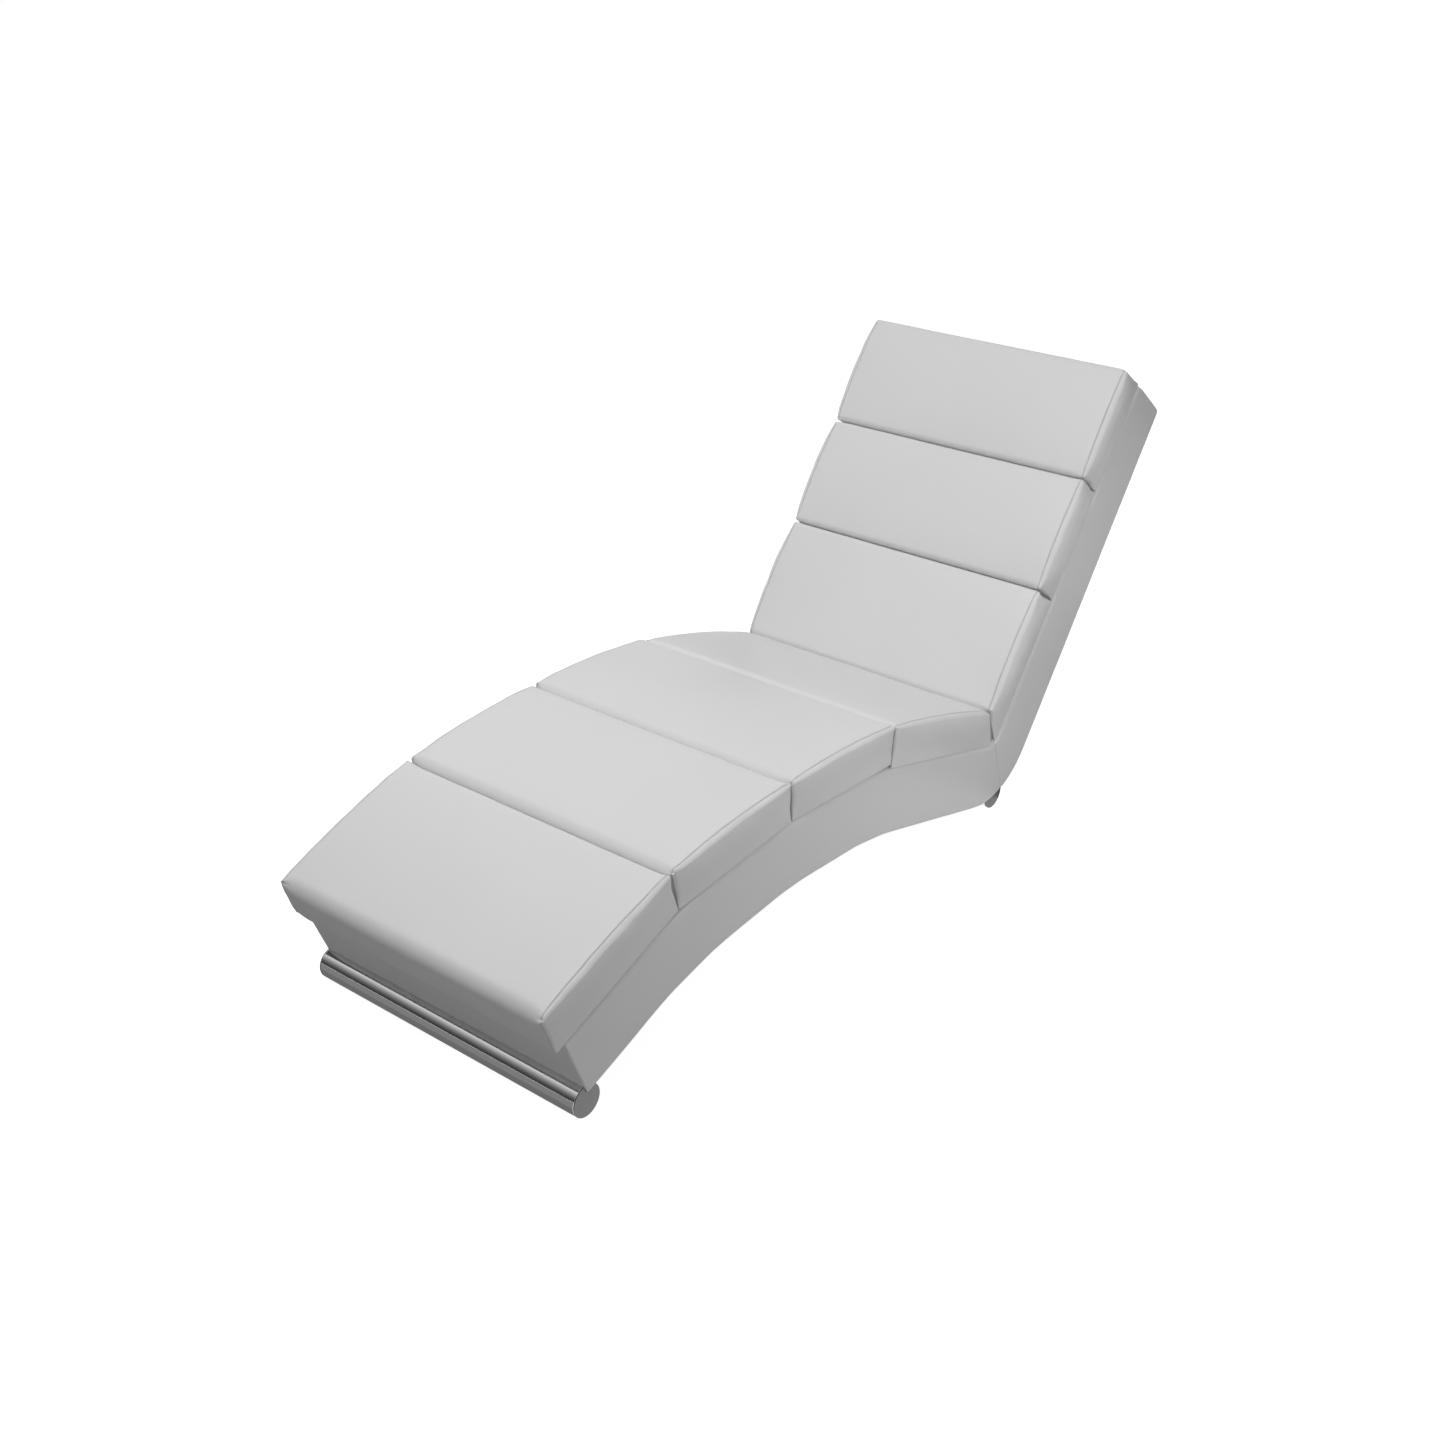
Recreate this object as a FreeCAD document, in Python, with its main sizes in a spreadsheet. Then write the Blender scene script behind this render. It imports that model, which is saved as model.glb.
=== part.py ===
import FreeCAD, Part
import os

import Sketcher

Vector = FreeCAD.Vector

# Driving sizes in millimetres and degrees
SIZES = (
    ("overall_width", 505, "across the outer faces of both side covers"),
    ("frame_depth", 110, "from the deck line to the underside, covers included"),
    ("cover_thickness", 3, "padded leatherette over the frames"),
    ("side_thickness", 18, "plywood sides"),
    ("deck_thickness", 6, "plywood deck under the pads"),
    ("panel_thickness", 3, "hardboard behind the back"),
    ("dust_cover_thickness", 1, "cloth under the seat"),
    ("cross_rail_thickness", 18, "rails between the sides"),
    ("front_rail_thickness", 40, "rail that takes the front tube"),
    ("hip_rail_thickness", 60, "rail that takes the rear tube and the back"),
    ("joint_rail_thickness", 30, "lowest rail of the back"),
    ("top_rail_thickness", 27, "highest rail of the back"),
    ("bend_radius", 450, "of the deck line at its three bends"),
    ("under_radius", 740, "of the underside at its three bends"),
    ("corner_radius", 140, "outside, where the back meets the seat"),
    ("top_radius", 12, "outside, at the upper end of the back"),
    ("foot_length", 243, "deck line under the foot pad"),
    ("foot_angle", 20.4, "slope of the foot deck"),
    ("calf_length", 250, "deck line under the calf pad"),
    ("calf_angle", 4.2, "slope of the calf deck"),
    ("thigh_length", 222, "deck line under the thigh pad"),
    ("thigh_angle", -4.1, "slope of the thigh deck"),
    ("seat_length", 360, "deck line from the lap bend to the hip"),
    ("hip_height", 126.2, "of the deck line above the floor where the back meets the seat"),
    ("back_length", 652, "deck line of the back"),
    ("back_angle", 52.7, "slope of the back"),
    ("tube_diameter", 50, "chromed foot tubes"),
    ("tube_wall", 1.5, "wall of the foot tubes"),
    ("tube_bite", 13, "how far the front corner reaches below the top of its tube"),
    ("tube_clearance", 0.2, "round a tube in its groove"),
    ("rear_tube_setback", 21.7, "from the mitre forward to the rear tube, level"),
    ("cap_flange", 2, "flat disc that closes a tube"),
    ("cap_plug", 12, "part of a cap inside the tube"),
    ("tube_bolt_diameter", 8, "bolts from the tubes into the rails"),
    ("tube_bolt_length", 32, "shank of a tube bolt past the tube"),
    ("tube_bolt_inset", 81.5, "from the plywood sides to the bolts of a tube"),
    ("tube_bolt_lean", 45, "of the front tube's bolts from the square of the foot deck"),
    ("tube_access_diameter", 18, "hole under each tube bolt"),
    ("joint_bolt_diameter", 8, "bolts between seat and back"),
    ("joint_bolt_drop", 40, "of the bolt row below the hip, along the mitre"),
    ("joint_bolt_inset", 36.5, "from the plywood sides to the outer joint bolts"),
    ("bolt_head_height", 5.3, "hexagon heads"),
    ("bolt_head_radius", 7.5, "hexagon heads, over the corners"),
    ("nut_height", 6.5, "joint nuts"),
    ("washer_thickness", 1.6, "joint washers"),
    ("washer_radius", 10, "joint washers"),
    ("bolt_clearance", 0.4, "round a joint bolt, in diameter"),
    ("pad_inset", 2, "of the pads from the side covers"),
    ("pad_thickness", 60, "of a pad at its shoulders"),
    ("pad_crown", 7, "rise of a pad's middle"),
    ("pad_end_crown", 3, "rise of a pad's sewn end panels"),
    ("pad_draw", 1.5, "how far the sewn ends draw in"),
    ("pad_shoulder", 34, "from a sewn end to the full section"),
    ("pad_edge_radius", 11, "long upper edges of the pads"),
    ("pad_end_radius", 5, "long upper edges of the pads at their sewn ends"),
    ("foot_roll", 18, "front upper edge of the foot pad"),
    ("pad_cover_thickness", 1.2, "leatherette of the pads"),
    ("pad_board_thickness", 9, "plywood under each foam block"),
    ("pad_clearance", 2, "between pads at the deck"),
    ("pad_gap", 2, "between pads of the back"),
    ("foot_overhang", 15, "of the foot pad past the apron"),
    ("thigh_overhang", 30, "of the thigh pad past the lap bend"),
    ("seat_pad_stop", 35, "from the seat pad to the hip"),
    ("lumbar_start", 41, "from the hip to the lumbar pad"),
    ("lumbar_share", 0.355, "of the padded length of the back, for the lumbar pad"),
    ("shoulder_share", 0.3215, "of the padded length of the back, for the shoulder pad"),
    ("head_overhang", 3, "of the head pad past the frame"),
    ("pad_screw_diameter", 4, "screws up into the pad boards"),
    ("pad_screw_head_radius", 4, "screws up into the pad boards"),
    ("pad_screw_head_height", 2.5, "screws up into the pad boards"),
    ("pad_screw_bite", 7, "of a screw into its board"),
    ("pad_screw_share", 0.32, "of a pad's length, from its long edges to its screws"),
    ("pad_screw_end_inset", 100.5, "from a pad's sewn ends to its screws"),
    ("dust_cover_lap", 12, "of the dust cover under the front rail"),
    ("dust_cover_turn", 11, "of the dust cover round the rear corner, in degrees"),
)

COVER = "Sizes.cover_thickness"
DEPTH = "Sizes.frame_depth"
DECK = "Sizes.deck_thickness"
UNDER = "Layout.under_depth"
TUBE_RADIUS = "Sizes.tube_diameter / 2"
FACETS = ("foot", "calf", "thigh", "seat", "back")
BENDS = (("foot", "calf"), ("calf", "thigh"), ("thigh", "seat"))

doc = FreeCAD.newDocument("chaise_longue")
sheet = doc.addObject("Spreadsheet::Sheet", "Sizes")
for row, (alias, number, meaning) in enumerate(SIZES, 1):
    sheet.set(f"A{row}", alias)
    sheet.set(f"B{row}", str(number))
    sheet.set(f"C{row}", meaning)
    sheet.setAlias(f"B{row}", alias)
doc.recompute()
layout = doc.addObject("App::VarSet", "Layout")
nodes = []


def value(text):
    """The present value of an expression."""
    return float(layout.evalExpression(text))


def derive(name, text):
    """A named place worked out from the driving sizes."""
    layout.addProperty("App::PropertyFloat", name, "Layout")
    layout.setExpression(name, text)
    doc.recompute()


def frame_at(place, angle):
    """A placement turned about the width axis."""
    y, z = place
    spot = f"create(<<vector>>; 0; {y}; {z})"
    turn = f"create(<<rotation>>; create(<<vector>>; 1; 0; 0); {angle})"
    return f"create(<<placement>>; {spot}; {turn})"


# Where the deck line, the bends, the mitre and the tubes lie

def set_out():
    derive("under_depth", "Sizes.frame_depth - Sizes.cover_thickness")
    derive("inner_half", "Sizes.overall_width / 2 - Sizes.cover_thickness - Sizes.side_thickness")
    derive("wall_half", "Sizes.overall_width / 2 - Sizes.cover_thickness")
    derive("foot_z", "Sizes.tube_diameter - Sizes.tube_bite + Sizes.frame_depth * cos(Sizes.foot_angle)")
    for facet in ("foot", "calf", "thigh", "back"):
        derive(f"{facet}_angle", f"Sizes.{facet}_angle")
    for before, after in zip(FACETS[:3], FACETS[1:]):
        derive(f"{after}_z", f"Layout.{before}_z + Sizes.{before}_length * sin(Layout.{before}_angle)")
    derive("seat_angle", "asin((Sizes.hip_height - Layout.seat_z) / Sizes.seat_length) / (1 deg)")
    derive("back_z", "Sizes.hip_height")
    runs = [f"Sizes.{name}_length * cos(Layout.{name}_angle)" for name in FACETS]
    derive("reach_back", " + ".join(runs) + " + Sizes.frame_depth * sin(Sizes.back_angle)"
           " - Sizes.top_radius * (cos(Sizes.back_angle) + sin(Sizes.back_angle) - 1)")
    derive("reach_front", "(Sizes.foot_roll - Sizes.foot_overhang) * cos(Sizes.foot_angle)"
           " - (Sizes.pad_thickness - Sizes.foot_roll) * sin(Sizes.foot_angle) - Sizes.foot_roll")
    derive("foot_y", "-(Layout.reach_front + Layout.reach_back) / 2")
    for before, after in zip(FACETS, FACETS[1:]):
        derive(f"{after}_y", f"Layout.{before}_y + Sizes.{before}_length * cos(Layout.{before}_angle)")
    derive("mitre_angle", "(Layout.seat_angle + Sizes.back_angle) / 2")
    opening = "(1 + cos(Sizes.back_angle - Layout.seat_angle))"
    derive("mitre_y", f"(sin(Layout.seat_angle) + sin(Sizes.back_angle)) / {opening}")
    derive("mitre_z", f"-(cos(Layout.seat_angle) + cos(Sizes.back_angle)) / {opening}")
    for letter in "yz":
        derive(f"corner_{letter}", f"Layout.back_{letter}"
               f" - (Sizes.corner_radius - Sizes.frame_depth) * Layout.mitre_{letter}")
    derive("tube_z", TUBE_RADIUS)
    derive("front_tube_y", "Layout.foot_y + Sizes.frame_depth * sin(Sizes.foot_angle)")
    derive("rear_tube_y", "Layout.back_y + (Layout.back_z - Layout.tube_z) * tan(Layout.mitre_angle)"
           " - Sizes.rear_tube_setback")
    derive("groove_radius", "Sizes.tube_diameter / 2 + Sizes.tube_clearance")
    derive("tube_bolt_seat", "sqrt((Sizes.tube_diameter / 2 - Sizes.tube_wall) ^ 2"
           " - Sizes.bolt_head_radius ^ 2)")
    derive("pad_half", "Sizes.overall_width / 2 - Sizes.pad_inset")
    derive("padded_back", "Sizes.back_length + Sizes.head_overhang"
           " - Sizes.lumbar_start - 2 * Sizes.pad_gap")
    derive("lumbar_length", "Sizes.lumbar_share * Layout.padded_back")
    derive("shoulder_length", "Sizes.shoulder_share * Layout.padded_back")
    derive("head_length", "Layout.padded_back - Layout.lumbar_length - Layout.shoulder_length")
    derive("shoulder_start", "Sizes.lumbar_start + Layout.lumbar_length + Sizes.pad_gap")
    derive("head_start", "Layout.shoulder_start + Layout.shoulder_length + Sizes.pad_gap")


def on_facet(facet, along, below):
    """A point at a distance along a facet of the deck line and below it."""
    angle = f"Layout.{facet}_angle"
    return (f"Layout.{facet}_y + ({along}) * cos({angle}) + ({below}) * sin({angle})",
            f"Layout.{facet}_z + ({along}) * sin({angle}) - ({below}) * cos({angle})")


def half_bend(before, after):
    """Half the angle by which the deck line bends between two facets."""
    return f"(Layout.{before}_angle - Layout.{after}_angle) / 2"


def on_mitre(below):
    return (f"Layout.back_y + ({below}) * Layout.mitre_y", f"Layout.back_z + ({below}) * Layout.mitre_z")


def beside_mitre(below, away):
    """A point off the mitre line, away from it towards the back."""
    y, z = on_mitre(below)
    return (f"{y} + ({away}) * cos(Layout.mitre_angle)", f"{z} + ({away}) * sin(Layout.mitre_angle)")


def corner_reach(below):
    return f"(Sizes.corner_radius - Sizes.frame_depth + ({below}))"


def on_corner(below, angle):
    """A point on the rounded corner between seat and back."""
    reach = corner_reach(below)
    return (f"Layout.corner_y + {reach} * sin({angle})", f"Layout.corner_z - {reach} * cos({angle})")


# Sketches and features

def new_body(label, placement=None):
    body = doc.addObject("PartDesign::Body", label)
    body.Label = label
    if placement:
        body.setExpression("Placement", placement)
    nodes.append(body)
    return body


def new_sketch(body, role="YZ_Plane", lift=None, offset=None):
    """A sketch on an origin plane, lifted along its normal or set off by a placement."""
    plane = next(item for item in body.Origin.OriginFeatures if item.Role == role)
    sketch = body.newObject("Sketcher::SketchObject", f"{body.Name}_sketch")
    sketch.AttachmentSupport = [(plane, "")]
    sketch.MapMode = "FlatFace"
    if lift:
        sketch.setExpression("AttachmentOffset.Base.z", lift)
    if offset:
        sketch.setExpression("AttachmentOffset", offset)
    return sketch


def hold(sketch, kind, where, text):
    """A driven constraint."""
    index = sketch.addConstraint(Sketcher.Constraint(kind, *where, value(text)))
    sketch.setExpression(f"Constraints[{index}]", text)


def hold_point(sketch, geometry, end, place):
    for kind, text in zip(("DistanceX", "DistanceY"), place):
        hold(sketch, kind, (-1, 1, geometry, end), text)


def add_edge(sketch, first, last, edge):
    """A line, or a short arc that turns left or right, with the numbers of its two ends."""
    if edge is None:
        return sketch.addGeometry(Part.LineSegment(first, last)), 1, 2
    radius, left = value(edge[0]), edge[1]
    chord = last - first
    middle = (first + last) * 0.5
    side = Vector(-chord.y, chord.x, 0).normalize() * (1 if left else -1)
    centre = middle + side * (radius ** 2 - chord.Length ** 2 / 4) ** 0.5
    crown = centre + (middle - centre).normalize() * radius
    geometry = sketch.addGeometry(Part.Arc(first, crown, last))
    return (geometry, 1, 2) if left else (geometry, 2, 1)


def draw(sketch, points, edges):
    """A closed outline: driven distances hold its corners and driven radii its arcs."""
    spots = [Vector(value(first), value(second), 0) for first, second in points]
    drawn = [add_edge(sketch, spots[index], spots[(index + 1) % len(spots)], edge)
             for index, edge in enumerate(edges)]
    for (geometry, _, end), following in zip(drawn, drawn[1:] + drawn[:1]):
        sketch.addConstraint(Sketcher.Constraint("Coincident", geometry, end, *following[:2]))
    for (geometry, start, _), edge, place in zip(drawn, edges, points):
        hold_point(sketch, geometry, start, place)
        if edge:
            hold(sketch, "Radius", (geometry,), edge[0])


def draw_polygon(sketch, points):
    draw(sketch, points, [None] * len(points))


def draw_circle(sketch, place, radius):
    centre = Vector(value(place[0]), value(place[1]), 0)
    geometry = sketch.addGeometry(Part.Circle(centre, Vector(0, 0, 1), value(radius)))
    hold_point(sketch, geometry, 3, place)
    hold(sketch, "Radius", (geometry,), radius)


def pad_out(body, sketch, length, side="One side", reverse=False):
    feature = body.newObject("PartDesign::Pad", f"{body.Name}_pad")
    feature.Profile = sketch
    feature.SideType = side
    feature.Reversed = reverse
    feature.setExpression("Length", length)
    doc.recompute()
    return feature


def cut_in(body, sketch, length, side="One side", reverse=False):
    """A pocket, which has to take something away."""
    before = body.Shape.Volume
    feature = body.newObject("PartDesign::Pocket", f"{body.Name}_pocket")
    feature.Profile = sketch
    feature.SideType = side
    feature.Reversed = reverse
    feature.setExpression("Length", length)
    doc.recompute()
    if body.Shape.Volume >= before:
        raise RuntimeError(f"{body.Label}: a pocket cuts nothing")
    return feature


def across(label, points, edges, half_width):
    """A piece of one section from side to side."""
    body = new_body(label)
    sketch = new_sketch(body)
    draw(sketch, points, edges)
    pad_out(body, sketch, f"2 * ({half_width})", "Symmetric")
    return body


def cut_groove(body, tube):
    """The round groove in which a foot tube lies."""
    sketch = new_sketch(body)
    draw_circle(sketch, (f"Layout.{tube}_tube_y", "Layout.tube_z"), "Layout.groove_radius")
    cut_in(body, sketch, "2 * Layout.wall_half", "Symmetric")


# Outlines of the two sections of the frame

def seat_chain(below, start, rear, rear_edges, radius="Sizes.bend_radius"):
    """The deck line, or a line under it, from the foot end to the given rear points."""
    points, edges = [on_facet("foot", start, below)], []
    for before, after in BENDS:
        tangent = f"{radius} * tan({half_bend(before, after)})"
        points += [on_facet(before, f"Sizes.{before}_length - {tangent}", below),
                   on_facet(after, tangent, below)]
        edges += [None, (f"{radius} - ({below})", False)]
    return points + rear, edges + rear_edges


def under_chain(below, start, end_angle):
    """The underside, whose bends are gentler than the deck's."""
    rear = [on_corner(below, "Layout.seat_angle"), on_corner(below, end_angle)]
    return seat_chain(below, start, rear, [None, (corner_reach(below), True)],
                      "(Sizes.under_radius + Sizes.frame_depth)")


def closed(upper, lower):
    """An outline from two lines that run the same way."""
    turned = [edge and (edge[0], not edge[1]) for edge in reversed(lower[1])]
    return upper[0] + lower[0][::-1], upper[1] + [None] + turned + [None]


def seat_outline(top, bottom, start):
    deck = seat_chain(top, start, [on_mitre(top)], [None])
    return closed(deck, under_chain(bottom, start, "Layout.mitre_angle"))


def back_outline(front, rear, top, radius):
    """The back from the mitre to its rounded upper end."""
    points = [on_mitre(front),
              on_facet("back", f"{top} - {radius}", front), on_facet("back", top, f"{front} + {radius}"),
              on_facet("back", top, f"{rear} - {radius}"), on_facet("back", f"{top} - {radius}", rear),
              on_corner(rear, "Sizes.back_angle"), on_corner(rear, "Layout.mitre_angle")]
    edges = [None, (radius, False), None, (radius, False), None, (corner_reach(rear), False), None]
    return points, edges


# The seat section

def seat_sides():
    points, edges = seat_outline(COVER, UNDER, COVER)
    for name, reverse in (("right", True), ("left", False)):
        body = new_body(f"seat_side_{name}")
        sketch = new_sketch(body, lift="Layout.wall_half" if reverse else "-Layout.wall_half")
        draw(sketch, points, edges)
        pad_out(body, sketch, "Sizes.side_thickness", reverse=reverse)
        cut_groove(body, "front")
        cut_groove(body, "rear")


def seat_covers():
    """Side covers folded over the upper and lower edges of the sides."""
    outside = seat_outline("0", DEPTH, "0")
    inside = seat_outline(COVER, UNDER, "0")
    for name, reverse in (("right", True), ("left", False)):
        sign = "" if reverse else "-"
        body = new_body(f"seat_cover_{name}")
        sketch = new_sketch(body, lift=f"{sign}Sizes.overall_width / 2")
        draw(sketch, *outside)
        pad_out(body, sketch, "Sizes.cover_thickness + Sizes.side_thickness", reverse=reverse)
        hollow = new_sketch(body, lift=f"{sign}Layout.wall_half")
        draw(hollow, *inside)
        cut_in(body, hollow, "Sizes.side_thickness", reverse=not reverse)
        cut_groove(body, "front")
        cut_groove(body, "rear")


def seat_rails():
    front = [on_facet("foot", COVER, DECK), on_facet("foot", f"{COVER} + Sizes.front_rail_thickness", DECK),
             on_facet("foot", f"{COVER} + Sizes.front_rail_thickness", UNDER),
             on_facet("foot", COVER, UNDER)]
    body = across("front_rail", front, [None] * 4, "Layout.inner_half")
    cut_groove(body, "front")
    drill_tube_holes(body, "front")
    for facet in ("calf", "thigh", "seat"):
        near, far = (f"Sizes.{facet}_length / 2 {sign} Sizes.cross_rail_thickness / 2" for sign in "-+")
        corners = [on_facet(facet, near, DECK), on_facet(facet, far, DECK),
                   on_facet(facet, far, UNDER), on_facet(facet, near, UNDER)]
        across(f"{facet}_rail", corners, [None] * 4, "Layout.inner_half")
    hip_rail()


def hip_rail():
    """The rail along the mitre, with its lower face on the rounded corner."""
    slant = "Sizes.hip_rail_thickness / cos(Layout.mitre_angle - Layout.seat_angle)"
    top_y, top_z = on_mitre(DECK)
    derive("hip_front_y", f"{top_y} - {slant} * cos(Layout.seat_angle)")
    derive("hip_front_z", f"{top_z} - {slant} * sin(Layout.seat_angle)")
    derive("hip_turn", "Layout.mitre_angle"
           f" - asin(Sizes.hip_rail_thickness / {corner_reach(UNDER)}) / (1 deg)")
    points = [on_mitre(DECK), on_corner(UNDER, "Layout.mitre_angle"), on_corner(UNDER, "Layout.hip_turn"),
              ("Layout.hip_front_y", "Layout.hip_front_z")]
    body = across("hip_rail", points, [None, (corner_reach(UNDER), False), None, None], "Layout.inner_half")
    cut_groove(body, "rear")
    drill_tube_holes(body, "rear")
    drill_joint_holes(body, "Sizes.hip_rail_thickness", reverse=False)


def seat_deck():
    deck = seat_chain("0", COVER, [on_mitre("0")], [None])
    lower = seat_chain(DECK, COVER, [on_mitre(DECK)], [None])
    body = across("seat_deck", *closed(deck, lower), "Layout.inner_half")
    for pad in PADS[:4]:
        drill_pad_holes(body, pad)


def foot_apron():
    corners = [on_facet("foot", "0", COVER), on_facet("foot", COVER, COVER),
               on_facet("foot", COVER, UNDER), on_facet("foot", "0", UNDER)]
    body = across("foot_apron_cover", corners, [None] * 4, "Layout.wall_half")
    cut_groove(body, "front")


def dust_cover():
    start = f"{COVER} + Sizes.front_rail_thickness - Sizes.dust_cover_lap"
    end = "Layout.seat_angle + Sizes.dust_cover_turn"
    upper = under_chain(UNDER, start, end)
    lower = under_chain(f"{UNDER} + Sizes.dust_cover_thickness", start, end)
    across("dust_cover", *closed(upper, lower), "Layout.inner_half")


# The back section

def back_sides():
    top, radius = f"(Sizes.back_length - {COVER})", f"(Sizes.top_radius - {COVER})"
    points, edges = back_outline(COVER, UNDER, top, radius)
    for name, reverse in (("right", True), ("left", False)):
        body = new_body(f"back_side_{name}")
        sketch = new_sketch(body, lift="Layout.wall_half" if reverse else "-Layout.wall_half")
        draw(sketch, points, edges)
        pad_out(body, sketch, "Sizes.side_thickness", reverse=reverse)
        cut_groove(body, "rear")


def back_covers():
    """Side covers folded over the front edges, with a top and a rear cover sewn between them."""
    outside = back_outline("0", DEPTH, "Sizes.back_length", "Sizes.top_radius")
    for name, reverse in (("right", True), ("left", False)):
        sign = "" if reverse else "-"
        body = new_body(f"back_cover_{name}")
        sketch = new_sketch(body, lift=f"{sign}Sizes.overall_width / 2")
        draw(sketch, *outside)
        pad_out(body, sketch, "Sizes.cover_thickness + Sizes.side_thickness", reverse=reverse)
        hollow = new_sketch(body, lift=f"{sign}Layout.wall_half")
        end = "Sizes.back_length - Sizes.top_radius"
        draw_polygon(hollow, [on_mitre(COVER), on_facet("back", end, COVER), on_facet("back", end, "0"),
                              on_facet("back", "Sizes.back_length", "0"),
                              on_facet("back", "Sizes.back_length", DEPTH), on_mitre(DEPTH)])
        cut_in(body, hollow, "Sizes.side_thickness", reverse=not reverse)
    top, fold = "Sizes.back_length", "Sizes.back_length - Sizes.top_radius"
    inner = "(Sizes.top_radius - Sizes.cover_thickness)"
    points = [on_facet("back", fold, "0"), on_facet("back", top, "Sizes.top_radius"),
              on_facet("back", top, f"{DEPTH} - Sizes.top_radius"), on_facet("back", fold, DEPTH),
              on_facet("back", fold, UNDER),
              on_facet("back", f"{top} - {COVER}", f"{DEPTH} - Sizes.top_radius"),
              on_facet("back", f"{top} - {COVER}", "Sizes.top_radius"), on_facet("back", fold, COVER)]
    outer_arc, inner_arc = ("Sizes.top_radius", False), (inner, True)
    edges = [outer_arc, None, outer_arc, None, inner_arc, None, inner_arc, None]
    across("back_top_cover", points, edges, "Layout.wall_half")
    points = [on_facet("back", fold, UNDER), on_facet("back", fold, DEPTH),
              on_corner(DEPTH, "Sizes.back_angle"), on_corner(DEPTH, "Layout.mitre_angle"),
              on_corner(UNDER, "Layout.mitre_angle"), on_corner(UNDER, "Sizes.back_angle")]
    edges = [None, None, (corner_reach(DEPTH), False), None, (corner_reach(UNDER), True), None]
    body = across("back_rear_cover", points, edges, "Layout.wall_half")
    cut_groove(body, "rear")


def back_rails():
    rear = f"({UNDER} - Sizes.panel_thickness)"
    top, low = f"Sizes.back_length - {COVER}", f"Sizes.back_length - {COVER} - Sizes.top_rail_thickness"
    fold = "Sizes.back_length - Sizes.top_radius"
    corners = [on_facet("back", low, DECK), on_facet("back", fold, DECK),
               on_facet("back", top, "Sizes.top_radius"),
               on_facet("back", top, f"{DEPTH} - Sizes.top_radius"),
               on_facet("back", fold, rear), on_facet("back", low, rear)]
    across("back_top_rail", corners, [None] * len(corners), "Layout.inner_half")
    between = "Layout.shoulder_start - Sizes.pad_gap / 2"
    near, far = (f"{between} {sign} Sizes.cross_rail_thickness / 2" for sign in "-+")
    corners = [on_facet("back", near, DECK), on_facet("back", far, DECK),
               on_facet("back", far, rear), on_facet("back", near, rear)]
    across("back_mid_rail", corners, [None] * 4, "Layout.inner_half")
    slant = "Sizes.joint_rail_thickness / cos(Sizes.back_angle - Layout.mitre_angle)"
    top_y, top_z = on_mitre(DECK)
    drop = "(Layout.back_z - Sizes.tube_diameter) / -Layout.mitre_z"
    corners = [on_mitre(DECK), on_mitre(drop), beside_mitre(drop, "Sizes.joint_rail_thickness"),
               (f"{top_y} + {slant} * cos(Sizes.back_angle)", f"{top_z} + {slant} * sin(Sizes.back_angle)")]
    body = across("back_joint_rail", corners, [None] * 4, "Layout.inner_half")
    drill_joint_holes(body, "Sizes.joint_rail_thickness", reverse=True)


def back_boards():
    end = "Sizes.back_length - Sizes.top_radius"
    corners = [on_mitre("0"), on_facet("back", end, "0"), on_facet("back", end, DECK), on_mitre(DECK)]
    deck = across("back_deck", corners, [None] * 4, "Layout.inner_half")
    for pad in PADS[4:]:
        drill_pad_holes(deck, pad)
    rear = f"({UNDER} - Sizes.panel_thickness)"
    corners = [on_corner(rear, "Sizes.back_angle"), on_facet("back", end, rear),
               on_facet("back", end, UNDER), on_corner(UNDER, "Sizes.back_angle")]
    across("back_panel", corners, [None] * 4, "Layout.inner_half")


# Holes that line up with the fasteners

def tube_frame(tube):
    angle = "Sizes.foot_angle - Sizes.tube_bolt_lean" if tube == "front" else "Layout.mitre_angle"
    return frame_at((f"Layout.{tube}_tube_y", "Layout.tube_z"), angle)


def tube_bolt_places():
    return [(f"{sign}(Layout.inner_half - Sizes.tube_bolt_inset)", "0") for sign in ("-", "")]


def drill_tube_holes(body, tube):
    sketch = new_sketch(body, "XY_Plane", offset=tube_frame(tube))
    for place in tube_bolt_places():
        draw_circle(sketch, place, "Sizes.tube_bolt_diameter / 2")
    cut_in(body, sketch, "Sizes.tube_diameter / 2 + Sizes.tube_bolt_length", reverse=True)


def joint_frame():
    """On the mitre, with its own upward axis square to the mitre, towards the back."""
    below = "Sizes.joint_bolt_drop / sqrt(Layout.mitre_y ^ 2 + Layout.mitre_z ^ 2)"
    return frame_at(on_mitre(below), "Layout.mitre_angle - 90")


def joint_bolt_steps():
    outer = "(Layout.inner_half - Sizes.joint_bolt_inset)"
    return [f"-{outer}", f"-{outer} / 3", f"{outer} / 3", outer]


def drill_joint_holes(body, length, reverse):
    sketch = new_sketch(body, "XY_Plane", offset=joint_frame())
    for step in joint_bolt_steps():
        draw_circle(sketch, (step, "0"), "(Sizes.joint_bolt_diameter + Sizes.bolt_clearance) / 2")
    cut_in(body, sketch, length, reverse=reverse)


def pad_frame(pad):
    return frame_at(on_facet(pad["facet"], pad["start"], "0"), f"Layout.{pad['facet']}_angle")


def pad_screw_places(pad):
    return [(f"{side}(Layout.pad_half - Sizes.pad_screw_end_inset)", along) for side in ("-", "")
            for along in (f"({pad['length']}) * Sizes.pad_screw_share",
                          f"({pad['length']}) * (1 - Sizes.pad_screw_share)")]


def drill_pad_holes(body, pad):
    sketch = new_sketch(body, "XY_Plane", offset=pad_frame(pad))
    for place in pad_screw_places(pad):
        draw_circle(sketch, place, "Sizes.pad_screw_diameter / 2")
    cut_in(body, sketch, "2 * Sizes.deck_thickness", "Symmetric")


# Foot tubes and fasteners

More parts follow.
